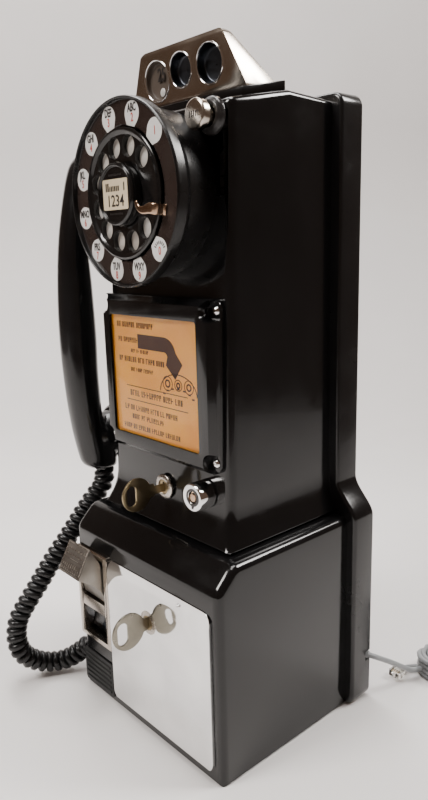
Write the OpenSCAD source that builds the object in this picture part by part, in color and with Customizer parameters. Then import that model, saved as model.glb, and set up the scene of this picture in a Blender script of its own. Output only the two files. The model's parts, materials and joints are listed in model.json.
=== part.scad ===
// Wall and table payphone with three coin openings, a rotary dial, a handset on a
// side hook and a coin vault.  Millimetres, +Z up, the front faces -Y.  The origin
// lies on the table under the middle of the lower housing.

/* [Lower housing] */
// Width of the lower housing
base_w = 159.2; // [156:0.2:162]
// Distance from its front face to the origin
base_front = 60; // [58:1:62]
// Height of its flat top
base_h = 146; // [144:1:148]
// Height at which its front starts to slope back
slope_z = 131; // [126:1:134]
// How far the slope runs back
slope_run = 15.6; // [12:0.2:18]

/* [Upper housing] */
// Width of the upper housing
top_w = 126; // [124:1:128]
// Width of its flared skirt
skirt_w = 138; // [134:1:142]
// Height of the skirt's lower edge
skirt_z = 148; // [148:0.5:150]
// Height at which the skirt runs into the straight sides
skirt_top = 176; // [170:1:180]
// Height of the front top edge
top_front_z = 412; // [408:1:414]
// Backward lean of the front, per millimetre of height
lean = 0.03; // [0.02:0.005:0.04]
// Wall thickness of both housings
wall = 2.8; // [2:0.1:3.5]

/* [Backboard] */
// Front plane of the backboard
board_y = 61.3; // [60:0.1:63]
// Thickness of the backboard
board_t = 22; // [18:1:25]
// Width of its lower part
board_low_w = 173; // [170:1:176]
// Width of its upper part
board_top_w = 142; // [140:1:144]
// Height of its top edge
board_h = 423.5; // [420:0.5:426]
// Radius of the holes for the wall screws
wall_hole_r = 3.25; // [2.5:0.25:4]

/* [Dial] */
// Height of the dial's centre
dial_z = 363.5; // [362:0.5:365]
// Outer radius of the dial's rim
dial_r = 55.2; // [54:0.2:56]
// Radius of the finger wheel
wheel_r = 38.1; // [37:0.1:38.2]
// Radius of the circle of finger holes
hole_circle_r = 28; // [27:0.5:29]
// Radius of a finger hole
finger_hole_r = 6.3; // [5.8:0.1:6.6]

/* [Handset] */
// Distance of the handset's middle plane from the centre plane
handset_x = 93; // [92:0.5:95]
// Width of the handle
handle_w = 25; // [22:1:27]
// Radius of the ear and mouth caps
cap_r = 21.5; // [20:0.5:22]
// Height of the ear cap's axis
ear_z = 372; // [370:1:374]
// Height of the mouth cap's axis
mouth_z = 191; // [189:1:193]

/* [Coin vault] */
// Width of the vault door
door_w = 109; // [106:1:110]
// Height of the vault door
door_h = 109; // [106:1:110]
// Distance of the door's middle from the centre plane
door_x = 18.5; // [18:0.5:19]

/* [Hidden] */
$fn = 64;

// Planes and heights that follow from the driving sizes
base_y0 = -base_front;
board_y1 = board_y + board_t;
front_at_180 = base_y0 + 27.6;
function front_y(z) = front_at_180 + lean * (z - 180);
dial_face = base_y0 + 1.4;
stop_angle = -15;
stop_r = 43.2;
top_mid = [22, 421];
top_rear_z = 419;
card_z = [195, 302];
card_face = base_y0 + 19;
door_z0 = 8;
door_face = base_y0 - 2.8;
door_lock_x = 11.6;
door_lock_z = 88;
upper_lock_x = -1;
upper_lock_z = 173.5;
tube_lock_x = 41;
tube_lock_z = 179;
button_x = 49;
button_z = 403.5;
return_x = [-77, -36.6];
return_z = [43, 117];
lever_axis_y = base_y0 + 3;
lever_axis_z = 84;
flap_axis_y = base_y0 + 5;
flap_axis_z = 74;
box_z = 13;
hook_axis_x = -38;
hook_axis_z = 344;
hook_y = -4;
cap_y = [-14, 6];
wall_holes = [for (x = [-48, 48], z = [225, 375]) [x, z]];
gauge_holes = [[-25.6, 436.6, 12], [-1.2, 439.3, 10], [25.6, 438, 11.2]];
// The coin gauge stands on a plane that rises to the rear
function seat_z(y) = 421 + 0.2 * (y + 5.3);
fit = 0.05;
gap = 0.3;

// Routes of the cords: round numbers, laid out by hand
curly_d = 16.2;
curly_route = [
  [-93, -24, 165], [-93, -24, 156], [-94, -27, 148], [-96, -34, 140], [-98, -44, 128],
  [-101, -56, 112], [-104, -69, 96], [-107, -81, 79], [-109, -90, 67], [-111, -97, 56],
  [-112, -100, 45], [-112, -100, 34], [-112, -96, 23], [-111, -88, 15], [-109, -79, 10],
  [-105, -71, 9], [-100, -64, 11], [-94, -58, 16], [-90, -54, 21], [-85, -52, 24.6], [-82, -52, 25]
];
line_d = 4;
line_z = 35;
line_route = [
  [86.4, 79.7, 35], [89, 80.5, 34.8], [91, 83, 33.5], [92, 90, 29], [94, 100, 22.5],
  [96, 110, 15.5], [97.5, 118, 10], [99, 126, 7], [102, 134, 6.5]
];
tail_route = [[98, 136, 5], [94, 133, 4], [90, 129, 3.5], [88.4, 126.5, 3.5], [88, 124.4, 3.5]];
hank_at = [122, 162];
hank_turn = 49;
hank_len = 80;
hank_w = 34;
hank_h = 16.6;
plug_at = [88, 124, 3.5];
plug_size = [9.6, 13, 6.6];

// ---- shared shapes ----
module along_y(y0, y1) { translate([0, y1, 0]) rotate([90, 0, 0]) linear_extrude(y1 - y0) children(); }
module along_x(x0, x1) { translate([x0, 0, 0]) rotate([90, 0, 90]) linear_extrude(x1 - x0) children(); }
module rod_y(r, y0, y1, x, z) { translate([x, y0, z]) rotate([-90, 0, 0]) cylinder(r = r, h = y1 - y0); }
module rod_x(r, x0, x1, y, z) { translate([x0, y, z]) rotate([0, 90, 0]) cylinder(r = r, h = x1 - x0); }
module box(a, b) { translate(a) cube(b - a); }
// A turned shape about a -Y axis: the outline's height runs towards the front
module turned(x, y, z) { translate([x, y, z]) rotate([90, 0, 0]) rotate_extrude() children(); }
module rounded(x0, z0, x1, z1, r) {
  translate([x0 + r, z0]) square([x1 - x0 - 2 * r, z1 - z0]);
  translate([x0, z0 + r]) square([x1 - x0, z1 - z0 - 2 * r]);
  for (x = [x0 + r, x1 - r], z = [z0 + r, z1 - r]) translate([x, z]) circle(r);
}
function arc(cx, cz, r, a0, a1, n = 8) =
  [for (i = [0:n]) [cx + r * cos(a0 + (a1 - a0) * i / n), cz + r * sin(a0 + (a1 - a0) * i / n)]];
function mirror_x(p) = [for (i = [len(p) - 1:-1:0]) [-p[i][0], p[i][1]]];

// A round tube swept along a route
function unit(v) = v / norm(v);
function tangent(p, i) = unit(p[min(i + 1, len(p) - 1)] - p[max(i - 1, 0)]);
function side_of(t) = unit(cross(t, abs(t[2]) > 0.9 ? [1, 0, 0] : [0, 0, 1]));
function carried(p, i) =
  i == 0 ? side_of(tangent(p, 0)) :
  let (s = carried(p, i - 1), t = tangent(p, i)) unit(s - t * (s * t));
module tube(p, d, n) {
  rings = [for (i = [0:len(p) - 1])
    let (t = tangent(p, i), s = carried(p, i), u = cross(t, s))
    [for (k = [0:n - 1]) p[i] + d / 2 * (s * cos(360 * k / n) + u * sin(360 * k / n))]];
  points = [for (r = rings) each r];
  last = len(p) - 1;
  sides = [for (i = [0:last - 1], k = [0:n - 1])
    [i * n + k, i * n + (k + 1) % n, (i + 1) * n + (k + 1) % n, (i + 1) * n + k]];
  ends = [[for (k = [n - 1:-1:0]) k], [for (k = [0:n - 1]) last * n + k]];
  polyhedron(points, concat(sides, ends));
}

// ---- housings ----
// Outer form of the lower housing, drawn in by an inset
module base_form(i) {
  half = base_w / 2 - i;
  r = 5;
  intersection() {
    along_x(-half, half) polygon([
      [base_y0 + i, i], [base_y0 + i, slope_z - i * 0.4], [base_y0 + slope_run - 3 + i * 0.4, base_h - 2.4 - i],
      [base_y0 + slope_run + i * 0.4, base_h - i], [board_y, base_h - i], [board_y, i]]);
    along_y(base_y0, board_y) polygon(concat(
      [[-half, i], [half, i]], arc(half - r, base_h - i - r, r, 0, 90), arc(-half + r, base_h - i - r, r, 90, 180)));
    translate([0, 0, i]) linear_extrude(base_h) union() {
      rounded(-half, base_y0 + i, half, board_y + 20, r);
    }
  }
}
module lower_housing() {
  color("#121214") difference() {
    base_form(0);
    difference() {
      base_form(wall);
      box([-34.4, base_y0, 0], [-33.2, board_y, 120]);
      box([-80, base_y0, 119], [-33.2, board_y, 120]);
      for (x = [-26, 58]) box([x, base_y0 + 8, 0], [x + 5, 50, box_z - gap]);
    }
    along_y(base_y0 - 1, base_y0 + wall + 1) rounded(-31.5, 12, 69, 113, 4);
    along_y(base_y0 - 1, base_y0 + wall + 1) rounded(-73.5, 46, -40.2, 114, 2);
    box([-20, -10, base_h - wall - 1], [20, 24, base_h + 1]);
    rod_x(5, -base_w / 2 - 1, -base_w / 2 + wall + 1, -52, 25);
  }
}

// Side outline of the upper housing: skirt, leaning front and falling top
module upper_side(i) {
  steps = 8;
  flare = 7;
  skirt = [for (k = [0:steps]) let (t = k / steps, z = skirt_z + (skirt_top - skirt_z) * t)
    [front_y(z) - flare * pow(1 - t, 2.2) + i, z - (k == 0 ? 1 : 0)]];
  r = 5;
  polygon(concat(skirt, arc(front_y(top_front_z) + r + i, top_front_z - r - i, r, 180, 100, 6),
    [[top_mid[0], top_mid[1] - i], [board_y, top_rear_z - i], [board_y, skirt_z - 1]]));
}
module upper_front(i) {
  steps = 8;
  flare = (skirt_w - top_w) / 2;
  half = top_w / 2 - i;
  r = 6;
  right = concat(
    [for (k = [0:steps]) let (t = k / steps) [half + flare * pow(1 - t, 2.2), skirt_z - 1 + (skirt_top - skirt_z + 1) * t]],
    arc(half - r, top_mid[1] - i - r + 1, r, 0, 90, 6));
  polygon(concat(right, mirror_x(right)));
}
module upper_form(i) {
  intersection() {
    along_x(-80, 80) upper_side(i);
    along_y(base_y0, board_y) upper_front(i);
    union() {
      translate([0, 0, skirt_top - 8]) linear_extrude(300) rounded(-top_w / 2 + i, front_at_180 - 0.6 + i, top_w / 2 - i, board_y + 20, 5.5);
      translate([0, 0, skirt_z - 1]) linear_extrude(skirt_top - skirt_z - 7) rounded(-80, base_y0 + 10, 80, board_y + 20, 5.5);
    }
    box([-90, -90, skirt_z], [90, 90, 500]);
  }
}
module upper_housing() {
  color("#121214") difference() {
    upper_form(0);
    difference() {
      upper_form(wall);
      box([-80, -50, skirt_z], [80, board_y, skirt_z + 2]);
    }
    box([-60, -28, skirt_z - 1], [60, board_y, skirt_z + 3]);
    rod_y(36, -40, -10, 0, dial_z);
    rod_y(6.2, -50, -10, button_x, button_z);
    rod_y(7.1, -50, -20, upper_lock_x, upper_lock_z);
    rod_y(8.1, -50, -20, tube_lock_x, tube_lock_z);
    box([-80, hook_y - 6, hook_axis_z - 9], [-55, hook_y + 6, hook_axis_z + 22]);
    for (h = gauge_holes) box([h[0] - 1.6, 0, 400], [h[0] + 1.6, 21.5, 430]);
  }
}

module backboard() {
  r = 8;
  low = board_low_w / 2;
  top = board_top_w / 2;
  right = concat(arc(low - r, r, r, -90, 0), [[low, 144]],
    [for (k = [1:7]) let (t = k / 8) [low + (top - low) * (3 * t * t - 2 * t * t * t), 144 + 26 * t]],
    [[top, 170]], arc(top - r, board_h - r, r, 0, 90));
  color("#141416") difference() {
    along_y(board_y, board_y1) polygon(concat(right, mirror_x(right)));
    for (h = wall_holes) rod_y(wall_hole_r, board_y - 1, board_y1 + 1, h[0], h[1]);
    rod_y(3, board_y - 1, board_y1 + 1, 74, line_z);
    box([40, board_y - 1, line_z - 5], [77, board_y + 8, line_z + 5]);
    box([70, board_y1 - 7, line_z - 3.6], [90, board_y1 + 1, line_z + 3.6]);
  }
}
module housing_screws() {
  color("silver") for (x = [-68, 68], z = [100, 20]) union() {
    rod_y(3.5, board_y - 6, board_y - 3.2, x, z);
    rod_y(1.9, board_y - 3.2, board_y - 0.1, x, z);
  }
}

// ---- coin gauge ----
// A wedge: a front that narrows upwards and a back that slopes down to the plate
module coin_gauge() {
  low = 54.6;
  high = 41;
  r = 6;
  color("#b9b3a6") difference() {
    intersection() {
      along_y(-20, 40) polygon(concat([[-low, 419], [low, 419], [low, 423]],
        arc(high - r, 455 - r, r, 24, 90, 6), arc(-high + r, 455 - r, r, 90, 156, 6), [[-low, 423]]));
      along_x(-60, 60) polygon([[-5.3, seat_z(-5.3)], [-9.1, 452.6], [-8.2, 455.5], [-5, 455.5], [19.8, seat_z(19.8)]]);
    }
    along_x(-40.5, 40.5) polygon([[-3, 415], [-3.6, 446], [0, 446], [15.5, 427.9], [15.5, 415]]);
    for (h = gauge_holes) rod_y(h[2], -14, -1.5, h[0], h[1]);
  }
}
module gauge_plate() {
  color("#0d0d0f") difference() {
    along_x(-58.4, 58.4) polygon([[-12, 412], [-12, seat_z(-12) - 0.1], [23.5, seat_z(23.5) - 0.1], [23.5, 412]]);
    for (h = gauge_holes) box([h[0] - 1.6, 6, 410], [h[0] + 1.6, 15, 430]);
    upper_form(-0.1);
  }
}
module coin_chutes() {
  color("#2a2a2c") for (h = gauge_holes) difference() {
    box([h[0] - 3.6, 5.6, 330], [h[0] + 3.6, 20.4, 413]);
    box([h[0] - 1.6, 7.6, 329], [h[0] + 1.6, 18.4, 414]);
  }
}
module coin_hopper() {
  color("#8d8f93") difference() {
    along_x(-31.6, 31.6) polygon([[2, 326], [24, 326], [24, 300], [20, 262], [6, 262], [2, 300]]);
    along_x(-30.2, 30.2) polygon([[3.4, 327], [22.6, 327], [22.6, 300], [18.6, 261], [7.4, 261], [3.4, 300]]);
  }
}
module coin_relay() {
  color("#6f6a60") difference() {
    union() {
      box([-24, -2, 190], [24, 28, 258]);
      rod_x(12, 26, 54, 12, 214);
      box([24, 8, 208], [27, 16, 220]);
    }
    box([-20, 2, 189], [20, 24, 259]);
  }
}

// ---- dial ----
module dial_bezel() {
  color("#101012") difference() {
    turned(0, dial_face, dial_z) polygon([[53.6, -6.3], [53.6, -0.6], [54, 0], [54.6, 0], [dial_r, -1], [dial_r, -7],
      [53.4, -9.4], [51, -12], [49.5, -35], [47, -35], [47, -12], [39, -12], [39, -8], [50, -8], [50, -6.3]]);
    along_x(-60, 60) polygon([[front_y(300) - gap, 300], [front_y(430) - gap, 430], [10, 430], [10, 300]]);
  }
}
module number_ring() {
  color("#1b1513") difference() {
    turned(0, dial_face, dial_z) polygon([[38.7, -6], [53.3, -6], [53.3, -3.2], [39.6, -3.2], [38.7, -3.6]]);
    rod_y(1.9, dial_face, dial_face + 10, stop_r * cos(stop_angle), dial_z + stop_r * sin(stop_angle));
  }
}
module dial_plate() {
  color("#cfcabd") turned(0, dial_face, dial_z) polygon([[6.2, -11.5], [38.3, -11.5], [38.3, -6.1], [6.2, -6.1]]);
}
module dial_mechanism() {
  color("#9a9a9c") difference() {
    union() {
      turned(0, dial_face, dial_z) polygon([[4 + fit, -12.5], [34, -12.5], [34, -34], [4 + fit, -34]]);
      rod_y(5, dial_face + 34, dial_face + 40, 20, dial_z);
      rod_y(4, dial_face + 34, dial_face + 42, -18, dial_z + 8);
    }
    box([-40, dial_face + 20, dial_z - 40], [-24, dial_face + 26, dial_z + 40]);
  }
}
module finger_stop() {
  color("#b98a55") translate([0, dial_face, dial_z]) rotate([0, -stop_angle, 0]) {
    box([39.6, -3.6, -3], [41, 2.6, 3]);
    difference() {
      box([21.6, -4.6, -3], [41, -3.2, 3]);
      rod_y(15, -6, 0, 29, 14);
      rod_y(24, -6, 0, 24, -25.8);
    }
    box([39.6, 1.4, -3], [45, 2.9, 3]);
    rod_y(1.6, 2.8, 6.5, stop_r, 0);
  }
}
module finger_wheel() {
  angles = [for (k = [0:9]) 45 + 30 * k];
  color("#0e0e10") difference() {
    turned(0, dial_face, dial_z) polygon([[6, -3], [19, -3], [20.5, -2.4], [34, -2.4], [35.6, -1.4], [36.8, -0.9], [wheel_r, -1.4],
      [wheel_r, -2.4], [36.6, -4.2], [6, -4.8]]);
    for (a = angles) rod_y(finger_hole_r, dial_face - 2, dial_face + 8,
      hole_circle_r * cos(a), dial_z + hole_circle_r * sin(a));
  }
  color("#0e0e10") for (a = angles) translate([hole_circle_r * cos(a), dial_face + 4.4, dial_z + hole_circle_r * sin(a)])
    rotate([-90, 0, 0]) difference() {
      cylinder(r = finger_hole_r + 0.9, h = 1.4);
      translate([0, 0, -1]) cylinder(r = finger_hole_r, h = 6);
    }
}
module card_holder() {
  color("#0e0e10") turned(0, dial_face, dial_z) polygon(concat(
    [[0, -2.6], [18.6, -2.6]], arc(16.6, 2.4, 2, 0, 90, 6), [[16, 4.4], [16, 3], [0, 3]]));
}
module number_card() {
  color("#e8dfc8") along_y(dial_face - 3.5, dial_face - 3.05) rounded(-13, dial_z - 9, 13, dial_z + 9, 1.2);
}
module dial_shaft() {
  color("silver") turned(0, dial_face, dial_z) polygon([[0, -46], [4, -46], [4, -8], [5.8, -8], [5.8, -4.9], [0, -4.9]]);
}

// ---- instruction card ----
module frame_form(i, face) {
  intersection() {
    along_y(-50, -20) rounded(-57.5 + i, card_z[0] + i, 57.5 - i, card_z[1] - i, 5);
    along_x(-60, 60) polygon([[face + 4, card_z[0] + i], [face, card_z[0] + i + 4], [face, card_z[1] - i - 4],
      [face + 4, card_z[1] - i], [front_y(card_z[1]), card_z[1]], [front_y(card_z[0]), card_z[0]]]);
    translate([0, 0, 190]) linear_extrude(130)
      polygon([[-57.5 + i, -20], [-57.5 + i, face + 4], [-53.5 + i, face], [53.5 - i, face], [57.5 - i, face + 4], [57.5 - i, -20]]);
  }
}
module card_frame() {
  corners = [for (x = [-54, 54], z = [202, 295]) [x, z]];
  color("#151519") difference() {
    union() {
      difference() {
        frame_form(0, card_face);
        for (c = corners) rod_y(6.5, card_face - 2, front_y(c[1]) - 3.5, c[0], c[1]);
      }
    }
    along_y(card_face - 1, card_face + 1.5) rounded(-46.5, 207, 44.5, 288.5, 2);
    along_y(card_face + 1.4, card_face + 4) rounded(-48, 203.5, 48, 290.5, 2);
    along_y(card_face + 3.9, -20) rounded(-46, 205, 46, 289, 2);
    for (c = corners) rod_y(1.7, -50, -10, c[0], c[1]);
  }
}
module instruction_card() {
  color("#d98a1f") along_y(card_face + 3.1, card_face + 3.9) rounded(-47.8, 203.8, 47.8, 290.2, 1.5);
}
module card_window() {
  color([0.9, 0.9, 0.9, 0.3]) along_y(card_face + 1.6, card_face + 3) rounded(-47.8, 203.8, 47.8, 290.2, 1.5);
}
module frame_screws() {
  color("silver") for (x = [-54, 54], z = [202, 295]) difference() {
    turned(x, front_y(z) - 3.5, z) polygon([[0, 1.8], [1.6, 1.6], [2.9, 0.6], [3.1, 0.05], [1.6, 0.05], [1.6, -3.4], [0, -3.4]]);
    box([x - 4, front_y(z) - 6, z - 0.4], [x + 4, front_y(z) - 4.7, z + 0.4]);
  }
}

// ---- locks, keys and button ----
module upper_lock_body() {
  y0 = front_y(upper_lock_z) - 2.5;
  color("#c4bfb4") difference() {
    union() {
      turned(upper_lock_x, y0, upper_lock_z) polygon([[0, 0.8], [6.6, 0.8], [8.6, 0], [8.6, -1.3], [7, -1.3], [7, -22], [0, -22]]);
    }
    rod_y(5 + fit, y0 - 5, y0 + 30, upper_lock_x, upper_lock_z);
  }
}
module upper_plug() {
  y0 = front_y(upper_lock_z) - 2.7;
  color("#b08d4a") difference() {
    union() {
      rod_y(5, y0, y0 + 23, upper_lock_x, upper_lock_z);
      box([upper_lock_x - 5, y0 + 22.6, upper_lock_z - 14], [upper_lock_x + 5, y0 + 24.6, upper_lock_z + 4]);
    }
    box([upper_lock_x - 0.8, y0 - 1, upper_lock_z - 3.6], [upper_lock_x + 0.8, y0 + 20, upper_lock_z + 3.6]);
  }
}
// A flat key: bow, shoulder and blade, in the plane x = 0, its blade running towards +Y
module key(bow_r, bow_y, tip_y) {
  along_x(-0.75, 0.75) difference() {
    union() {
      translate([bow_y, 0]) circle(bow_r);
      polygon([[bow_y, -bow_r * 0.55], [bow_y + bow_r + 2.5, -4.2], [bow_y + bow_r + 2.5, 4.2], [bow_y, bow_r * 0.55]]);
      polygon([[bow_y, -3.3], [tip_y, -3.3], [tip_y + 1.5, -1.5], [tip_y + 1.5, 1.2], [bow_y, 3.3]]);
    }
    translate([bow_y - bow_r * 0.38, -bow_r * 0.3]) circle(bow_r * 0.32);
    translate([bow_y - bow_r * 0.38, bow_r * 0.3]) circle(bow_r * 0.32);
    translate([bow_y - bow_r * 0.7, -bow_r * 0.3]) square([bow_r * 0.64, bow_r * 0.6]);
  }
}
module upper_key() {
  color("#a98f54") translate([upper_lock_x, front_y(upper_lock_z), upper_lock_z]) key(11.4, -25, 15);
}
module tube_lock_body() {
  y0 = front_y(tube_lock_z);
  color("#d8d6d2") turned(tube_lock_x, y0, tube_lock_z) polygon(
    [[4 + fit, 12.4], [6.2, 12.4], [8.4, 13], [9.2, 12.2], [9.2, 0.9], [8, 0.9], [8, -22], [4 + fit, -22]]);
}
module tube_plug() {
  y0 = front_y(tube_lock_z);
  color("#c9a47c") difference() {
    union() {
      turned(tube_lock_x, y0, tube_lock_z) polygon(
        [[0, 12.2], [2.6, 12.2], [2.6, 6], [4, 6], [4, -22.6], [0, -22.6]]);
      box([tube_lock_x - 4, y0 + 22.5, tube_lock_z - 13], [tube_lock_x + 4, y0 + 24.5, tube_lock_z + 4]);
    }
  }
}
module button_collar() {
  y0 = front_y(button_z);
  color("#101012") turned(button_x, y0, button_z) polygon(
    [[6 + fit, 5.2], [8.4, 5.2], [10.2, 3.2], [10.8, 0.8], [9.4, 0.4], [6.1, 0.4], [6.1, -14], [6 + fit - 0.6, -14], [6 + fit - 0.6, -2], [6 + fit, -2]]);
}
module push_button() {
  y0 = front_y(button_z);
  color("#b9ab98") turned(button_x, y0, button_z) polygon(
    [[0, 15], [7.9, 15], [8.5, 14.4], [8.5, 9.6], [5.4, 9.6], [5.4, -14.6], [0, -14.6]]);
  color("silver") rod_y(6.8, y0 + 14.7, y0 + 16.2, button_x, button_z);
}

// ---- coin return ----
module return_frame() {
  color("#d2cec6") difference() {
    union() {
      intersection() {
        along_y(base_y0 - 2.6, base_y0 - 0.05) rounded(return_x[0], return_z[0], return_x[1], return_z[1], 2.5);
        along_x(-90, 0) polygon([[base_y0 - 1.4, return_z[0]], [base_y0 - 2.6, return_z[0] + 1.2],
          [base_y0 - 2.6, return_z[1] - 1.2], [base_y0 - 1.4, return_z[1]], [base_y0, return_z[1]], [base_y0, return_z[0]]]);
      }
      along_y(base_y0 - 0.1, base_y0 + 7) rounded(-73.2, 46.3, -40.5, 113.7, 2);
    }
    along_y(base_y0 - 5, base_y0 + 10) rounded(-72, 47.5, -41.7, 70, 1.5);
    along_y(base_y0 - 5, base_y0 + 10) rounded(-72, 78.5, -41.7, 112.4, 1.5);
    rod_x(1.5, -74, -40, lever_axis_y, lever_axis_z);
    box([-72, base_y0 + 1.2, 69], [-41.7, base_y0 + 8, 79]);
  }
}
module lever_pin() {
  color("silver") rod_x(1.45, -73, -40.8, lever_axis_y, lever_axis_z);
}
// Side outline of the coin return lever, drawn in by an inset
module lever_side(i) {
  polygon(concat(
    [[base_y0 - 22 + i * 0.9, 105 + i], [base_y0 - 11 + i * 0.4, 125 - i * 1.4], [base_y0 - 3 - i, 110 - i], [base_y0 + 5.4 - i, 106],
    [base_y0 + 5.4 - i, 81]],
    [for (k = [0:8]) let (t = k / 8) [base_y0 - 1 - 21 * pow(t, 1.5) + i * 0.5, 80.6 + 24.4 * pow(t, 0.75) + i]]));
}
module return_lever() {
  color("#aaa49a") difference() {
    along_x(-70.5, -43.2) lever_side(0);
    intersection() {
      along_x(-69.3, -44.4) lever_side(1.2);
      box([-80, -90, 60], [-30, -40, 130]);
    }
    rod_x(1.5, -80, -30, lever_axis_y, lever_axis_z);
    box([-69.3, base_y0 + 2, 86.5], [-44.4, base_y0 + 10, 104]);
  }
}
module return_chute() {
  color("#8d8f93") difference() {
    box([-75, base_y0 + 7.4, 40], [-35.2, 18, 116]);
    box([-73.8, base_y0 + 6, 41.2], [-36.4, 16.8, 114.8]);
    box([-70, -20, 112], [-40, 10, 118]);
  }
}
module return_flap() {
  color("#33363a") difference() {
    union() {
      along_x(-71.2, -42.5) polygon(concat(
        [for (k = [0:8]) let (a = -90 + 70 * k / 8) [flap_axis_y - 1 + 22 * cos(a) * 0.2, flap_axis_z - 24 + 24 + 24 * sin(a) * 0.98]],
        [for (k = [8:-1:0]) let (a = -90 + 70 * k / 8) [flap_axis_y + 0.4 + 22 * cos(a) * 0.2, flap_axis_z + 24 * sin(a) * 0.98]]));
      rod_x(1.5, -71.2, -42.5, flap_axis_y, flap_axis_z);
      along_x(-71.2, -42.5) polygon([[flap_axis_y - 0.5, flap_axis_z - 1], [flap_axis_y + 5.2, flap_axis_z - 9],
        [flap_axis_y + 4, flap_axis_z - 10], [flap_axis_y - 1, flap_axis_z - 1]]);
    }
  }
}
module kick_panel() {
  color("#1c1c1e") union() {
    along_y(base_y0 - 1, base_y0 - 0.05) rounded(-78, 3, -39.5, 31, 3);
    for (z = [7:4:27]) rod_x(0.9, -75, -42.5, base_y0 - 1, z);
  }
}

// ---- vault door and cash box ----
module vault_door() {
  x0 = door_x - door_w / 2;
  x1 = door_x + door_w / 2;
  z1 = door_z0 + door_h;
  color("#d9dadb") difference() {
    union() {
      intersection() {
        along_y(door_face - 2, base_y0 - 0.3) rounded(x0, door_z0, x1, z1, 6.5);
        along_x(x0, x1) polygon([[door_face + 1, door_z0], [door_face, door_z0 + 1.2], [door_face, z1 - 9],
          [base_y0 - 0.6, z1], [base_y0 - 0.3, z1], [base_y0 - 0.3, door_z0]]);
      }
      along_y(base_y0 - 0.4, base_y0 + 2.2) rounded(-31, 12.5, 68.5, 112.5, 3.6);
    }
    rod_y(7.2, -80, -50, door_lock_x, door_lock_z);
  }
}
module door_lock() {
  color("#c9c5bd") turned(door_lock_x, door_face, door_lock_z) polygon(
    [[5 + fit, 0.6], [6.4, 0.6], [8.4, 0.02], [7.15, 0.02], [7.15, -8], [5 + fit, -8]]);
}
module door_plug() {
  color("#b3a888") difference() {
    union() {
      rod_y(5, door_face - 0.4, door_face + 9.6, door_lock_x, door_lock_z);
      box([door_lock_x - 4, door_face + 8.4, door_lock_z - 4], [door_lock_x + 4, door_face + 10, door_lock_z + 13]);
    }
    box([door_lock_x - 0.8, door_face - 3, door_lock_z - 3.6], [door_lock_x + 0.8, door_face + 8, door_lock_z + 3.6]);
  }
}
module door_key() {
  color("#a89f86") translate([door_lock_x, door_face, door_lock_z]) key(12.6, -15.8, 5.5);
}
module cash_box() {
  color("#7d8185") difference() {
    box([-29, base_y0 + 13.4, box_z], [66, 50, box_z + 72]);
    box([-27.6, base_y0 + 14.8, box_z + 1.4], [64.6, 48.6, box_z + 73]);
  }
}

// ---- inside ----
module chassis_plate() {
  color("#8d8f93") difference() {
    box([-58, 44, 182], [58, 45.6, 402]);
    for (h = wall_holes) rod_y(8, 40, 50, h[0], h[1]);
  }
  color("#8d8f93") for (x = [-30, 30], z = [192, 392]) rod_y(4, 45.5, board_y - 0.1, x, z);
}
module ringer_coil() {
  color("#7a4a2a") for (x = [-10, 10]) rod_y(8, 30.4, 43.9, x, 290);
  color("#7a4a2a") box([-20, 26, 284], [20, 30.5, 296]);
}
module ringer_gongs() {
  color("#b9a56a") for (x = [-37, 37]) turned(x, 34, 290) difference() {
    polygon([[0, 3], [8, 2.4], [13, 0], [15, -5], [15, -7], [13.8, -7], [12, -1.4], [7.4, 1.2], [2.2, 1.8], [2.2, -9.9], [0, -9.9]]);
  }
}
module network_block() {
  color("#3a3f36") union() {
    box([14, 24, 336], [46, 43.9, 388]);
    for (k = [0:4], z = [342, 382]) rod_y(1.8, 21.5, 24.2, 18 + 6 * k, z);
  }
}
module hook_bracket() {
  color("#9a9a9c") difference() {
    union() {
      box([hook_axis_x - 6, hook_y - 6, hook_axis_z - 8], [hook_axis_x + 6, hook_y - 4.6, hook_axis_z + 8]);
      box([hook_axis_x - 6, hook_y + 4.6, hook_axis_z - 8], [hook_axis_x + 6, hook_y + 6, hook_axis_z + 8]);
      box([hook_axis_x - 6, hook_y - 6, hook_axis_z - 22], [hook_axis_x + 6, 43.9, hook_axis_z - 20]);
      box([hook_axis_x - 6, hook_y - 6, hook_axis_z - 21], [hook_axis_x + 6, hook_y - 4.6, hook_axis_z - 7]);
      box([hook_axis_x - 6, hook_y + 4.6, hook_axis_z - 21], [hook_axis_x + 6, hook_y + 6, hook_axis_z - 7]);
    }
    rod_y(2 + 0.1, hook_y - 10, hook_y + 10, hook_axis_x, hook_axis_z);
  }
}
module hook_pin() {
  color("silver") rod_y(2, hook_y - 8, hook_y + 8, hook_axis_x, hook_axis_z);
}
module hook_lever() {
  color("#c0bdb6") difference() {
    union() {
      rod_y(5, hook_y - 4, hook_y + 4, hook_axis_x, hook_axis_z);
      box([-handset_x - 17, hook_y - 4, hook_axis_z - 3], [hook_axis_x, hook_y + 4, hook_axis_z + 3]);
      box([-handset_x - 17, hook_y - 4, hook_axis_z], [-handset_x - 12, hook_y + 4, hook_axis_z + 14]);
      box([-handset_x + 12, hook_y - 4, hook_axis_z], [-handset_x + 17, hook_y + 4, hook_axis_z + 14]);
      box([hook_axis_x, hook_y - 3, hook_axis_z - 2], [hook_axis_x + 18, hook_y + 3, hook_axis_z + 2]);
    }
    rod_y(cap_r + 0.4, -30, 30, -handset_x, ear_z);
    rod_y(2 + fit, hook_y - 10, hook_y + 10, hook_axis_x, hook_axis_z);
  }
}

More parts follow.
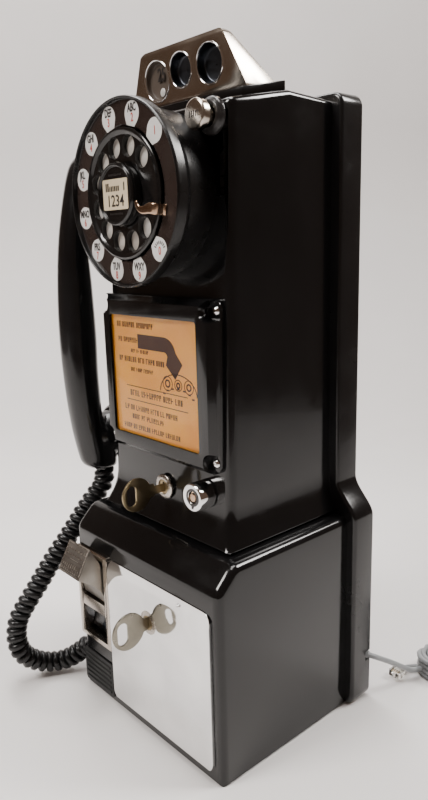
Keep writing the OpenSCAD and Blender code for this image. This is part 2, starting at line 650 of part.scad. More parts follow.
// ---- handset ----
// Handle: a bowed bar, round across, lofted through stations of height,
// depth range and half width
handle_stations = [
  [165.5, -34.5, -14.4, 10], [168.5, -38.5, -14.4, 11.4], [174, -42.6, -14.4, 12.2], [200, -47.5, -24, 12.5], [235, -51, -26.5, 12.8],
  [270, -52.3, -26, 12.8], [305, -50.8, -27, 12.6], [340, -46.5, -28, 12.4], [372, -40, -17, 12.2],
  [392, -33, -15, 11], [397, -29, -17, 8]
];
module handset_handle() {
  n = 28;
  rings = [for (s = handle_stations) [for (k = [0:n - 1])
    [-handset_x + s[3] * cos(360 * k / n), (s[1] + s[2]) / 2 + (s[2] - s[1]) / 2 * sin(360 * k / n), s[0]]]];
  points = [for (r = rings) each r];
  last = len(handle_stations) - 1;
  sides = [for (i = [0:last - 1], k = [0:n - 1])
    [(i + 1) * n + k, (i + 1) * n + (k + 1) % n, i * n + (k + 1) % n, i * n + k]];
  ends = [[for (k = [0:n - 1]) k], [for (k = [n - 1:-1:0]) last * n + k]];
  color("#0d0d0f") difference() {
    union() {
      polyhedron(points, concat(sides, ends));
      for (z = [ear_z, mouth_z]) rod_y(17, -36, cap_y[0] - 0.02, -handset_x, z);
    }
    for (z = [ear_z, mouth_z]) rod_y(14.5, -32, cap_y[0] + 1, -handset_x, z);
    translate([-handset_x, -24, 150]) cylinder(r = 4.2, h = 24);
  }
}
module cap(z, dish) {
  color("#0d0d0f") difference() {
    translate([-handset_x, cap_y[0], z]) rotate([-90, 0, 0]) rotate_extrude() polygon(
      [[0, 17.4 - dish], [10, 18 - dish], [16, 20], [19.5, 19], [cap_r, 15], [cap_r, 4], [18.5, 0], [15, 0], [15, 13], [0, 13]]);
    for (a = [0:60:300]) rod_y(1.1, 0, 12, -handset_x + 6 * cos(a), z + 6 * sin(a));
    rod_y(1.1, -8, 12, -handset_x, z);
  }
}
module ear_cap() { cap(ear_z, 3); }
module mouth_cap() { cap(mouth_z, 0); }
module handset_capsules() {
  color("#777a7e") for (z = [ear_z, mouth_z]) rod_y(14, -28, -1.4, -handset_x, z);
}
module handset_grommet() {
  color("#0b0b0c") translate([-handset_x, -24, 165.2]) cylinder(r = 4.15, h = 8);
}

// ---- cords ----
module cord_gland() {
  color("#0b0b0c") union() {
    rod_x(8.6, -81.1, -79.65, -52, 25);
    rod_x(4.95, -79.7, -74, -52, 25);
  }
}
module line_bushing() {
  color("#7f8083") union() {
    rod_x(3.3, 78, 80, board_y1 - 3.6, line_z);
    rod_x(2.7, 79, 86.2, board_y1 - 3.6, line_z);
  }
}
module handset_cord() { color("#151516") tube(curly_route, curly_d, 12); }
module line_cord() {
  color("#8c8e90") union() {
    tube(line_route, line_d, 8);
    tube(tail_route, line_d, 8);
  }
}
module cord_hank() {
  r = hank_w / 2;
  color("#8c8e90") translate([hank_at[0], hank_at[1], 0]) rotate([0, 0, hank_turn]) linear_extrude(hank_h) union() {
    translate([-hank_len / 2 + r, -r]) square([hank_len - 2 * r, 2 * r]);
    for (x = [-hank_len / 2 + r, hank_len / 2 - r]) translate([x, 0]) circle(r);
  }
}
module line_plug() {
  color("#d5d2cc") translate(plug_at) translate([-plug_size[0] / 2, -plug_size[1] + 1, -plug_size[2] / 2]) cube(plug_size);
}

backboard();
lower_housing();
upper_housing();
gauge_plate();
coin_gauge();
coin_chutes();
coin_hopper();
coin_relay();
dial_bezel();
number_ring();
dial_plate();
finger_stop();
dial_mechanism();
card_frame();
instruction_card();
card_window();
frame_screws();
upper_lock_body();
tube_lock_body();
button_collar();
return_frame();
kick_panel();
return_chute();
chassis_plate();
ringer_coil();
ringer_gongs();
network_block();
hook_bracket();
hook_pin();
cord_gland();
line_bushing();
housing_screws();
handset_cord();
line_cord();
cord_hank();
line_plug();
finger_wheel();
card_holder();
number_card();
dial_shaft();
handset_handle();
ear_cap();
mouth_cap();
handset_capsules();
handset_grommet();
hook_lever();
push_button();
return_lever();
lever_pin();
return_flap();
vault_door();
door_lock();
door_plug();
door_key();
upper_plug();
upper_key();
tube_plug();
cash_box();
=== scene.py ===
import json
import math
import random

import bmesh
import bpy
from mathutils import Matrix, Vector

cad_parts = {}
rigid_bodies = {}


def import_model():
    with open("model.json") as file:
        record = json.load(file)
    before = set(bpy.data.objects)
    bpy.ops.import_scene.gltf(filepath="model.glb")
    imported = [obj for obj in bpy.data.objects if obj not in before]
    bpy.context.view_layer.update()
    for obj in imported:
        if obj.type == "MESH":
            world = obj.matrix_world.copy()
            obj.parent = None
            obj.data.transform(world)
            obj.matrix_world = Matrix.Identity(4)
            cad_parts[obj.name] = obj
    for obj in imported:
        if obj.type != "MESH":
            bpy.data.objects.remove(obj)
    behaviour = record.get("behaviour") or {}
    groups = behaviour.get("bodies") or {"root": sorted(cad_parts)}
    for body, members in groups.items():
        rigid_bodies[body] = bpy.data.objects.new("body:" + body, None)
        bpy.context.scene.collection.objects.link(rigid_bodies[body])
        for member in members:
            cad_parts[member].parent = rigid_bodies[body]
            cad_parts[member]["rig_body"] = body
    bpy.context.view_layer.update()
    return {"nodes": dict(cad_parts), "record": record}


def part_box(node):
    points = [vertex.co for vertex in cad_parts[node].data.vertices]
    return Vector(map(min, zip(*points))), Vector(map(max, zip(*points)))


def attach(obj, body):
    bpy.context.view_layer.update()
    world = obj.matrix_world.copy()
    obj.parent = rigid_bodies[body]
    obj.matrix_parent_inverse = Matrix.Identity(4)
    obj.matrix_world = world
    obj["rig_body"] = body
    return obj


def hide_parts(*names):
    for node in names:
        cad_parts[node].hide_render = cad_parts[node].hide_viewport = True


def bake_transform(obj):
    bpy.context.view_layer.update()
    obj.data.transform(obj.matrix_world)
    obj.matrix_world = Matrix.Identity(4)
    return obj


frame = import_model()
NODES = frame["nodes"]
MM = 0.001
random.seed(7)


def mm(*values):
    return Vector([v * MM for v in values])


def link(name, data):
    """A new object in the scene for the data."""
    obj = bpy.data.objects.new(name, data)
    bpy.context.scene.collection.objects.link(obj)
    return obj


def arc(x, z, rx, rz, start, end, steps):
    """Points on an ellipse from one angle to another, in degrees."""
    angles = (math.radians(start + (end - start) * k / steps) for k in range(steps + 1))
    return [(x + rx * math.cos(a), z + rz * math.sin(a)) for a in angles]


def circle(x, z, r, steps):
    return arc(x, z, r, r, 0, 360, steps)[:-1]


# ---------------------------------------------------------------- places taken from the frame
def span(node, axis):
    low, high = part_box(node)
    return low[axis] / MM, high[axis] / MM


def middle(node, axis):
    low, high = span(node, axis)
    return (low + high) / 2


BASE_HALF = span("lower_housing", 0)[1]
BASE_FRONT = span("lower_housing", 1)[0]
BASE_TOP = span("lower_housing", 2)[1]
BOARD_FRONT, BOARD_REAR = span("backboard", 1)
DIAL_Z = middle("dial_bezel", 2)
DIAL_FACE = span("dial_bezel", 1)[0]
RIM_R = span("dial_bezel", 0)[1]
HANDSET_X = middle("ear_cap", 0)
EAR_Z = middle("ear_cap", 2)
MOUTH_Z = middle("mouth_cap", 2)
CAP_R = (span("ear_cap", 0)[1] - span("ear_cap", 0)[0]) / 2
CAP_BACK = span("ear_cap", 1)[0]
LEAN = 0.03
FRONT_AT_180 = -32.4
BUTTON = (49, 403.5)


def front_y(z):
    return FRONT_AT_180 + LEAN * (z - 180)


# ---------------------------------------------------------------- camera
YAW, PITCH, ROLL = math.radians(48.55), math.radians(12.73), math.radians(-1.61)


def make_camera():
    back = Vector((math.sin(YAW) * math.cos(PITCH), -math.cos(YAW) * math.cos(PITCH), math.sin(PITCH)))
    right = Vector((math.cos(YAW), math.sin(YAW), 0))
    up = back.cross(right)
    turned_right = math.cos(ROLL) * right + math.sin(ROLL) * up
    turned_up = -math.sin(ROLL) * right + math.cos(ROLL) * up
    data = bpy.data.cameras.new("camera")
    data.sensor_fit = "VERTICAL"
    data.sensor_height = 36
    data.lens = 31.6
    data.clip_start = 0.01
    camera = link("camera", data)
    basis = Matrix((turned_right, turned_up, back)).transposed()
    camera.matrix_world = Matrix.Translation(mm(361.5, -307.6, 334.8)) @ basis.to_4x4()
    bpy.context.scene.camera = camera


make_camera()


# ---------------------------------------------------------------- materials
class Shade:
    """A Principled material with short calls for noise, ramps and bump."""

    def __init__(self, name, color, rough, metal=0.0, **sockets):
        self.material = bpy.data.materials.new(name)
        self.material.use_nodes = True
        self.tree = self.material.node_tree
        self.shader = self.tree.nodes["Principled BSDF"]
        self.shader.inputs["Base Color"].default_value = (*color, 1)
        self.shader.inputs["Roughness"].default_value = rough
        self.shader.inputs["Metallic"].default_value = metal
        for key, value in sockets.items():
            self.shader.inputs[key.replace("_", " ")].default_value = value
        self.place = self.tree.nodes.new("ShaderNodeTexCoord").outputs["Object"]
        self.height = None

    def node(self, kind, **inputs):
        node = self.tree.nodes.new("ShaderNode" + kind)
        for key, value in inputs.items():
            node.inputs[key].default_value = value
        return node

    def noise(self, scale, detail=4.0, stretch=None, distortion=0.0):
        node = self.node("TexNoise", Scale=scale, Detail=detail, Distortion=distortion)
        place = self.place
        if stretch:
            mapping = self.node("Mapping", Scale=stretch)
            self.tree.links.new(place, mapping.inputs["Vector"])
            place = mapping.outputs["Vector"]
        self.tree.links.new(place, node.inputs["Vector"])
        return node.outputs["Fac"]

    def ramp(self, source, low, high, start=0.35, end=0.65):
        node = self.node("ValToRGB")
        for element, place, value in zip(node.color_ramp.elements, (start, end), (low, high)):
            element.position = place
            element.color = (*value, 1) if isinstance(value, tuple) else (value, value, value, 1)
        self.tree.links.new(source, node.inputs["Fac"])
        return node.outputs["Color"]

    def color(self, source, low, high, start=0.35, end=0.65):
        self.tree.links.new(self.ramp(source, low, high, start, end), self.shader.inputs["Base Color"])
        return self

    def rough(self, source, low, high, start=0.35, end=0.65):
        self.tree.links.new(self.ramp(source, low, high, start, end), self.shader.inputs["Roughness"])
        return self

    def bump(self, source, strength, distance=0.0004):
        node = self.node("Bump", Strength=strength, Distance=distance)
        self.tree.links.new(source, node.inputs["Height"])
        if self.height:
            self.tree.links.new(self.height, node.inputs["Normal"])
        self.height = node.outputs["Normal"]
        self.tree.links.new(self.height, self.shader.inputs["Normal"])
        return self


def paint(name, color, rough_low, rough_high):
    s = Shade(name, color, rough_low, Specular_IOR_Level=0.4, Coat_Weight=0.12, Coat_Roughness=0.04)
    s.color(s.noise(9, 6), color, tuple(c * 1.7 + 0.001 for c in color))
    s.rough(s.noise(38, 8, distortion=0.6), rough_low, rough_high)
    return s.bump(s.noise(420, 2), 0.05, 0.0002).bump(s.noise(60, 3), 0.04, 0.0005).material


def metal(name, low, high, rough_low, rough_high, grain=0.05, stretch=(1, 1, 12)):
    s = Shade(name, high, rough_low, 1.0)
    s.color(s.noise(30, 8, distortion=0.4), low, high)
    s.rough(s.noise(55, 8, stretch=stretch), rough_low, rough_high)
    return s.bump(s.noise(600, 3, stretch=stretch), grain, 0.0002).material


def plastic(name, color, rough_low, rough_high, coat=0.3, grain=0.04):
    s = Shade(name, color, rough_low, Specular_IOR_Level=0.38, Coat_Weight=coat, Coat_Roughness=0.08)
    s.color(s.noise(14, 5), color, tuple(c * 1.5 + 0.002 for c in color))
    s.rough(s.noise(70, 6), rough_low, rough_high)
    return s.bump(s.noise(500, 3), grain, 0.0002).material


def printed(name, low, high, rough=0.45):
    s = Shade(name, low, rough, Coat_Weight=0.15, Coat_Roughness=0.1)
    s.color(s.noise(22, 8), low, high)
    s.rough(s.noise(90, 5), rough * 0.8, rough * 1.2)
    return s.bump(s.noise(900, 4), 0.08, 0.0001).material


def clear(name, tint, rough):
    s = Shade(name, tint, rough, Transmission_Weight=1.0, IOR=1.2)
    s.rough(s.noise(30, 6), rough, rough + 0.04)
    return s.bump(s.noise(12, 2), 0.05, 0.001).material


M = {
    "black": paint("gloss_black_paint", (0.0030, 0.0029, 0.0031), 0.10, 0.19),
    "board": paint("board_black_paint", (0.0042, 0.0040, 0.0042), 0.16, 0.28),
    "rough_black": plastic("crackled_black", (0.010, 0.009, 0.009), 0.2, 0.5, 0.2, 0.6),
    "nickel": metal("warm_nickel", (0.40, 0.36, 0.32), (0.60, 0.56, 0.51), 0.2, 0.34),
    "satin": metal("satin_zinc", (0.20, 0.18, 0.16), (0.32, 0.30, 0.27), 0.3, 0.42, 0.08, (1, 1, 1)),
    "gauge": metal("gauge_nickel", (0.52, 0.46, 0.40), (0.60, 0.54, 0.47), 0.16, 0.24, 0.015, (1, 1, 1)),
    "cup": metal("dark_cup", (0.05, 0.055, 0.065), (0.09, 0.095, 0.11), 0.3, 0.42),
    "warm_cup": plastic("warm_cup", (0.075, 0.058, 0.046), 0.4, 0.5, 0.0, 0.05),
    # a darker metal for the ground of the lever's pad, between its ribs
    "pad": metal("dark_pad_ground", (0.10, 0.09, 0.08), (0.20, 0.18, 0.16), 0.4, 0.55, 0.2, (1, 1, 1)),
    "kick": plastic("kick_black", (0.004, 0.004, 0.0042), 0.45, 0.6, 0.0, 0.05),
    "flap": metal("dark_flap", (0.07, 0.08, 0.10), (0.12, 0.14, 0.17), 0.1, 0.18),
    "chrome": metal("bright_chrome", (0.80, 0.80, 0.80), (0.90, 0.90, 0.90), 0.035, 0.10, 0.01),
    "steel": metal("zinc_steel", (0.36, 0.36, 0.37), (0.56, 0.56, 0.57), 0.25, 0.42),
    "brass": metal("aged_brass", (0.22, 0.17, 0.10), (0.42, 0.34, 0.20), 0.24, 0.40, 0.08, (1, 1, 1)),
    "key_nickel": metal("key_nickel", (0.19, 0.175, 0.14), (0.30, 0.28, 0.23), 0.24, 0.34, 0.04, (1, 1, 1)),
    "stop": metal("copper_tone_chrome", (0.40, 0.27, 0.18), (0.56, 0.41, 0.30), 0.16, 0.26),
    "gong": metal("gong_brass", (0.42, 0.33, 0.16), (0.62, 0.50, 0.26), 0.16, 0.28),
    "bakelite": plastic("black_bakelite", (0.0034, 0.0034, 0.0038), 0.12, 0.22, 0.2, 0.02),
    "rim": plastic("rim_bakelite", (0.0034, 0.0030, 0.0030), 0.24, 0.34, 0.0, 0.02),
    "wheel": plastic("wheel_bakelite", (0.0034, 0.0030, 0.0030), 0.10, 0.20, 0.2, 0.02),
    "ring": plastic("ring_enamel", (0.016, 0.0105, 0.009), 0.2, 0.34, 0.3, 0.03),
    "rubber": plastic("cord_vinyl_black", (0.0045, 0.0045, 0.0050), 0.26, 0.4, 0.0, 0.06),
    "vinyl": plastic("cord_vinyl_grey", (0.20, 0.21, 0.215), 0.3, 0.45, 0.2, 0.06),
    "tie": plastic("tie_white", (0.60, 0.60, 0.58), 0.35, 0.5, 0.1, 0.1),
    "white": printed("white_enamel", (0.62, 0.61, 0.59), (0.74, 0.73, 0.71), 0.35),
    # dial dots: cream, with the colour also dimmed towards brown as painted shade from the finger wheel over
    # them
    "dot": printed("dial_dot_cream_with_painted_shade", (0.42, 0.37, 0.31), (0.66, 0.65, 0.63), 0.3),
    "ink": printed("black_ink", (0.012, 0.010, 0.010), (0.026, 0.022, 0.02), 0.4),
    "card_ink": printed("brown_black_ink", (0.035, 0.012, 0.006), (0.07, 0.025, 0.012), 0.4),
    "red": printed("red_ink", (0.36, 0.025, 0.018), (0.5, 0.05, 0.03), 0.4),
    "ivory": printed("ivory_card", (0.56, 0.47, 0.31), (0.68, 0.58, 0.41), 0.5),
    "orange": printed("orange_card", (0.80, 0.30, 0.022), (0.92, 0.40, 0.035), 0.35),
    "glass": clear("card_glass", (0.97, 0.97, 0.97), 0.02),
    "clear_plug": clear("clear_plug_plastic", (0.86, 0.85, 0.82), 0.08),
    "gold": metal("gold_contacts", (0.70, 0.50, 0.20), (0.85, 0.65, 0.30), 0.15, 0.25),
    "copper_wire": metal("varnished_copper", (0.32, 0.12, 0.05), (0.48, 0.20, 0.09), 0.2, 0.35, 0.2,
                         (1, 60, 1)),
    "green": plastic("green_moulding", (0.030, 0.045, 0.026), 0.4, 0.6, 0.0, 0.2),
    "grey_paint": plastic("grey_relay_case", (0.16, 0.155, 0.14), 0.35, 0.5, 0.05, 0.1),
}


# ---------------------------------------------------------------- mesh helpers
def finish_piece(obj, material, body, slot, replaced=(), angle=32):
    obj.data.materials.clear()
    obj.data.materials.append(M[material])
    obj.data.shade_smooth()
    obj.data.set_sharp_from_angle(angle=math.radians(angle))
    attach(obj, body)
    if replaced:
        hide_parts(*replaced)
    return obj


def raw(name, bm):
    """A plain object for a modifier to work on."""
    bmesh.ops.recalc_face_normals(bm, faces=bm.faces)
    mesh = bpy.data.meshes.new(name)
    bm.to_mesh(mesh)
    bm.free()
    return link(name, mesh)


def piece(name, bm, material, body, slot, replaced=(), angle=32):
    return finish_piece(raw(name, bm), material, body, slot, replaced, angle)


def apply_modifiers(obj):
    graph = bpy.context.evaluated_depsgraph_get()
    graph.update()
    mesh = bpy.data.meshes.new_from_object(obj.evaluated_get(graph))
    obj.modifiers.clear()
    old = obj.data
    obj.data = mesh
    bpy.data.meshes.remove(old)


def modify(obj, kind, **settings):
    """Adds one modifier and applies it."""
    modifier = obj.modifiers.new(kind.lower(), kind)
    for key, value in settings.items():
        setattr(modifier, key, value)
    apply_modifiers(obj)


def cut(obj, *cutters):
    for cutter in cutters:
        modify(obj, "BOOLEAN", operation="DIFFERENCE", solver="EXACT", object=cutter)
        mesh = cutter.data
        bpy.data.objects.remove(cutter)
        bpy.data.meshes.remove(mesh)


def loft(bm, rings, close=True, caps=True):
    """Quads between rings of the same number of points."""
    rows = [[bm.verts.new(p) for p in ring] for ring in rings]
    count = len(rows[0])
    for a, b in zip(rows, rows[1:]):
        for k in range(count if close else count - 1):
            bm.faces.new((a[k], a[(k + 1) % count], b[(k + 1) % count], b[k]))
    if caps:
        bm.faces.new(rows[0])
        bm.faces.new(rows[-1][::-1])
    return rows


def lathe(bm, profile, x, y, z, steps=72):
    """Turns (radius, height) points, in mm, about a line along -Y through (x, y, z)."""
    rows = []
    for radius, height in profile:
        if radius < 0.001:
            rows.append([bm.verts.new(mm(x, y - height, z))])
            continue
        rows.append([bm.verts.new(mm(u, y - height, v)) for u, v in circle(x, z, radius, steps)])
    for a, b in zip(rows, rows[1:]):
        for k in range(steps):
            j = (k + 1) % steps
            if len(a) == 1 and len(b) == 1:
                continue
            if len(a) == 1:
                bm.faces.new((a[0], b[j], b[k]))
            elif len(b) == 1:
                bm.faces.new((a[k], a[j], b[0]))
            else:
                bm.faces.new((a[k], a[j], b[j], b[k]))


def rounded_profile(points, radius, segments=4):
    """The points of an outline with each inner corner rounded."""
    result = [points[0]]
    for before, corner, after in zip(points, points[1:], points[2:]):
        c = Vector(corner)
        to_before, to_after = Vector(before) - c, Vector(after) - c
        r = min(radius, to_before.length * 0.45, to_after.length * 0.45)
        start, end = c + to_before.normalized() * r, c + to_after.normalized() * r
        for k in range(segments + 1):
            t = k / segments
            result.append(tuple((1 - t) ** 2 * start + 2 * t * (1 - t) * c + t * t * end))
    return result + [points[-1]]


def turned(name, profile, x, y, z, material, body, slot, replaced=(), radius=0.4, steps=96):
    bm = bmesh.new()
    lathe(bm, rounded_profile(profile, radius), x, y, z, steps)
    return piece(name, bm, material, body, slot, replaced)


def prism(bm, outline, y0, y1):
    """Extrudes an (x, z) outline, in mm, from y0 to y1."""
    loft(bm, [[mm(x, y, z) for x, z in outline] for y in (y0, y1)])


def box(bm, low, high):
    prism(bm, [(low[0], low[2]), (high[0], low[2]), (high[0], high[2]), (low[0], high[2])], low[1], high[1])


def box_piece(low, high):
    bm = bmesh.new()
    box(bm, low, high)
    return raw("cutter", bm)


def outline_cutter(outline, y0, y1):
    bm = bmesh.new()
    prism(bm, outline, y0, y1)
    return raw("cutter", bm)


def rod(x, z, radius, y0, y1, steps=48):
    return outline_cutter(circle(x, z, radius, steps), y0, y1)


def round_rect(x0, z0, x1, z1, r, steps=8):
    corners = [(x1 - r, z1 - r, 0), (x0 + r, z1 - r, 90), (x0 + r, z0 + r, 180), (x1 - r, z0 + r, 270)]
    return [p for cx, cz, start in corners for p in arc(cx, cz, r, r, start, start + 90, steps)]


def bevel(obj, width, segments=3, angle=28):
    modify(obj, "BEVEL", width=width * MM, segments=segments, limit_method="ANGLE",
           angle_limit=math.radians(angle), use_clamp_overlap=True)


def softened(node, material, width=0.4, segments=2):
    """A CAD node's shape with its sharp edges rounded, standing for it."""
    source = NODES[node]
    bm = bmesh.new()
    bm.from_mesh(source.data)
    bmesh.ops.remove_doubles(bm, verts=bm.verts, dist=1e-6)
    bmesh.ops.dissolve_limit(bm, angle_limit=math.radians(1.5), verts=bm.verts, edges=bm.edges)
    obj = raw(node + "_skin", bm)
    bevel(obj, width, segments)
    slot = next(p["material_slot"] for p in frame["record"]["subparts"] if p["node"] == node)
    return finish_piece(obj, material, source["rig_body"], slot, (node,))


def weighted_cage(name, faces_of, weights, width, segments):
    """Builds a cage and rounds the edges for which weights(edge) gives a share of width."""
    bm = bmesh.new()
    faces_of(bm)
    bmesh.ops.remove_doubles(bm, verts=bm.verts, dist=1e-6)
    bmesh.ops.recalc_face_normals(bm, faces=bm.faces)
    layer = bm.edges.layers.float.get("bevel_weight_edge") or bm.edges.layers.float.new("bevel_weight_edge")
    for edge in bm.edges:
        edge[layer] = weights(edge)
    obj = raw(name, bm)
    modify(obj, "BEVEL", width=width * MM, segments=segments, limit_method="WEIGHT")
    return obj


# ---------------------------------------------------------------- cords
def smooth_path(points, step):
    """A Catmull-Rom curve through given points, with evenly spaced samples."""
    p = [points[0] * 2 - points[1], *points, points[-1] * 2 - points[-2]]
    fine = []
    for k in range(1, len(p) - 2):
        for i in range(24):
            t = i / 24
            a, b, c, d = p[k - 1:k + 3]
            fine.append(0.5 * (2 * b + (c - a) * t + (2 * a - 5 * b + 4 * c - d) * t * t
                               + (3 * b - a - 3 * c + d) * t ** 3))
    fine.append(points[-1])
    samples, carried = [fine[0]], 0.0
    for a, b in zip(fine, fine[1:]):
        length = (b - a).length
        while carried + length >= step:
            share = (step - carried) / length
            a = a + (b - a) * share
            length = (b - a).length
            samples.append(a)
            carried = 0.0
        carried += length
    if (samples[-1] - fine[-1]).length > step * 0.3:
        samples.append(fine[-1])
    return samples


def frames_along(path):
    """A side and an up direction at each point, turning as little as they can."""
    last = len(path) - 1
    tangents = [(path[min(i + 1, last)] - path[max(i - 1, 0)]).normalized() for i in range(last + 1)]
    side = tangents[0].orthogonal().normalized()
    result = []
    for t in tangents:
        side = (side - t * side.dot(t)).normalized()
        result.append((t, side, t.cross(side)))
    return result


def tube(bm, path, radius, sides=10):
    rings = [[p + c * side + d * up for c, d in circle(0, 0, radius, sides)]
             for p, (_, side, up) in zip(path, frames_along(path))]
    loft(bm, rings)


CURLY_D = 16.2
CURLY_WIRE = 5.9
CURLY_PITCH = 6.1
CURLY_ROUTE = [
    (-93, -24, 165), (-93, -24, 156), (-94, -27, 148), (-96, -34, 140), (-98, -44, 128),
    (-101, -56, 112), (-104, -69, 96), (-107, -81, 79), (-109, -90, 67), (-111, -97, 56),
    (-112, -100, 45), (-112, -100, 34), (-112, -96, 23), (-111, -88, 15), (-109, -79, 10),
    (-105, -71, 9), (-100, -64, 11), (-94, -58, 16), (-90, -54, 21), (-85, -52, 24.6), (-82, -52, 25),
]


def path_length(path):
    return sum((b - a).length for a, b in zip(path, path[1:]))


def curly_cord():
    path = smooth_path([mm(*p) for p in CURLY_ROUTE], 0.3 * MM)
    frames = frames_along(path)
    coil_r = (CURLY_D - CURLY_WIRE) / 2
    wire, travelled = [], 0.0
    for i, (p, (_, side, up)) in enumerate(zip(path, frames)):
        if i:
            travelled += (p - path[i - 1]).length
        turn = 2 * math.pi * travelled / (CURLY_PITCH * MM)
        wire.append(p + coil_r * MM * (math.cos(turn) * side + math.sin(turn) * up))
    bm = bmesh.new()
    tube(bm, wire, CURLY_WIRE / 2 * MM, 8)
    obj = raw("curly_cord", bm)
    obj.data.materials.append(M["rubber"])
    obj.data.shade_smooth()
    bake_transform(obj)
    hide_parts("handset_cord")
    path_length(path)


LINE_D = 4
LINE_ROUTE = [
    (86.4, 79.7, 35), (89, 80.5, 34.8), (91, 83, 33.5), (92, 90, 29), (94, 100, 22.5),
    (96, 110, 15.5), (97.5, 118, 10), (99, 126, 7), (102, 134, 6.5),
]
TAIL_ROUTE = [(98, 136, 5), (94, 133, 4), (90, 129, 3.5), (88.4, 126.5, 3.5), (88, 124.4, 3.5)]
HANK_MIDDLE = (middle("cord_hank", 0), middle("cord_hank", 1))
HANK_TURN = math.radians(49)
HANK_RUN = 46
HANK_RADII = (7.4, 11.1, 14.6)
HANK_LAYERS = (2.2, 6.1, 10.0, 13.9)


def hank_at(x, y, z):
    c, s = math.cos(HANK_TURN), math.sin(HANK_TURN)
    return mm(HANK_MIDDLE[0] + x * c - y * s, HANK_MIDDLE[1] + x * s + y * c, z)


def hank_path():
    """Turns of an oblong coil, worked outwards in each layer and then up."""
    points = []
    rounds = [(r, z) for k, z in enumerate(HANK_LAYERS)
              for r in (HANK_RADII if k % 2 == 0 else HANK_RADII[::-1])]
    samples = 24
    for n, (r, z) in enumerate(rounds):
        next_r, next_z = rounds[min(n + 1, len(rounds) - 1)]
        for k in range(samples):
            share = k / samples
            ease = max(0.0, (share - 0.72) / 0.28)
            ease = ease * ease * (3 - 2 * ease)
            radius = r + (next_r - r) * ease
            height = z + (next_z - z) * ease
            angle = math.radians(180 + 360 * share)
            x, y = radius * math.cos(angle), radius * math.sin(angle)
            x += math.copysign(HANK_RUN / 2, x) if abs(x) > 1e-6 else 0
            x += 0.6 * math.sin(5.1 * n + 3 * angle)
            points.append(hank_at(x, y, height))
    return points


def line_cord():
    points = [mm(*p) for p in LINE_ROUTE] + hank_path() + [mm(*p) for p in TAIL_ROUTE]
    path = smooth_path(points, 2.2 * MM)
    bm = bmesh.new()
    tube(bm, path, LINE_D / 2 * MM, 8)
    cord = raw("line_cord_whole", bm)
    finish_piece(cord, "vinyl", "casing", "grey_cord", ("line_cord", "cord_hank"), angle=60)
    tie = hank_tie()
    plug = line_plug()
    path_length(path)
    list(plug_contacts())


def hank_tie():
    """A flat tie round the waist of the hank."""
    bm = bmesh.new()
    half_w, half_h, mid = 16.7, 8.1, 8.3
    rings = []
    for offset in (-3, -2.6, 2.6, 3):
        grow = 0.0 if abs(offset) == 3 else 0.2
        outline = round_rect(-half_w - grow, mid - half_h, half_w + grow, mid + half_h, 6)
        rings.append([hank_at(offset, x, max(z, 0.1)) for x, z in outline])
    loft(bm, rings, caps=False)
    obj = raw("hank_tie", bm)
    modify(obj, "SOLIDIFY", thickness=0.4 * MM, offset=-1)
    return finish_piece(obj, "tie", "casing", "grey_cord")


def line_plug():
    low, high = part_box("line_plug")
    x0, y0, z0 = (v / MM for v in low)
    x1, y1, z1 = (v / MM for v in high)
    bm = bmesh.new()
    box(bm, (x0, y0, z0 + 1.2), (x1, y1 - 3, z1))
    box(bm, (x0 + 1.6, y1 - 4, z0 + 1.6), (x1 - 1.6, y1, z1 - 1))
    box(bm, (x0 + 3, y0 + 1, z0), (x1 - 3, y1 - 1.5, z0 + 0.7))
    obj = raw("modular_plug", bm)
    bevel(obj, 0.3, 2)
    return finish_piece(obj, "clear_plug", "casing", "clear_plug", ("line_plug",))


def plug_contacts():
    """Four gilt contacts and the white conductors behind them."""
    x = middle("line_plug", 0)
    y0 = span("line_plug", 1)[0]
    z1 = span("line_plug", 2)[1]
    made = []
    for name, material, slot, y_from, y_to, top in (
            ("plug_contacts", "gold", "brass", y0 + 0.6, y0 + 3.4, z1 - 0.3),
            ("plug_wires", "tie", "grey_cord", y0 + 3.6, y0 + 9, z1 - 1.6)):
        bm = bmesh.new()
        for k in range(4):
            at = x - 2.4 + 1.6 * k
            prism(bm, arc(at, top - 0.6, 0.3, 0.5, 0, 360, 10)[:-1], y_from, y_to)
        made.append(piece(name, bm, material, "casing", slot))
    return made


curly_cord()
line_cord()


# ---------------------------------------------------------------- housings
def lower_housing():
    """The vault's casting: straight front, a slope to the lip, and soft corners."""
    slope_z, lip_y = 131, BASE_FRONT + 15.6

    def faces(bm):
        rows = [(BASE_FRONT, 0), (BASE_FRONT, slope_z), (lip_y - 2.6, BASE_TOP - 2), (lip_y + 1, BASE_TOP)]
        rear = [(BOARD_FRONT, BASE_TOP), (BOARD_FRONT, 0)]
        loft(bm, [[mm(s * BASE_HALF, y, z) for y, z in rows + rear] for s in (-1, 1)])

    def weights(edge):
        a, b = (v.co / MM for v in edge.verts)
        y, z = (a.y + b.y) / 2, (a.z + b.z) / 2
        along_x = abs(a.x - b.x) > 1
        if y > BOARD_FRONT - 1 and (along_x or z <= BASE_TOP - 1):
            return 0.0
        if along_x:
            shares = {0: 0.25, slope_z: 0.9, BASE_TOP - 2: 0.35, BASE_TOP: 0.35}
            return shares[min(shares, key=lambda level: abs(z - level))]
        return 0.25 if z < 1 else 1.0

    obj = weighted_cage("lower_housing_shell", faces, weights, 5.5, 6)
    cut(obj, box_piece((-33, BASE_FRONT + 2.8, 2.8), (BASE_HALF - 2.8, BOARD_FRONT + 1, BASE_TOP - 18)),
        box_piece((-BASE_HALF + 2.8, BASE_FRONT + 2.8, 2.8), (-35, BOARD_FRONT + 1, BASE_TOP - 28)),
        outline_cutter(round_rect(-31.5, 12, 69, 113, 4), BASE_FRONT - 2, BASE_FRONT + 4),
        outline_cutter(round_rect(-73.5, 46, -40.2, 114, 2), BASE_FRONT - 2, BASE_FRONT + 4))
    finish_piece(obj, "black", "casing", "black_paint", ("lower_housing",), 24)


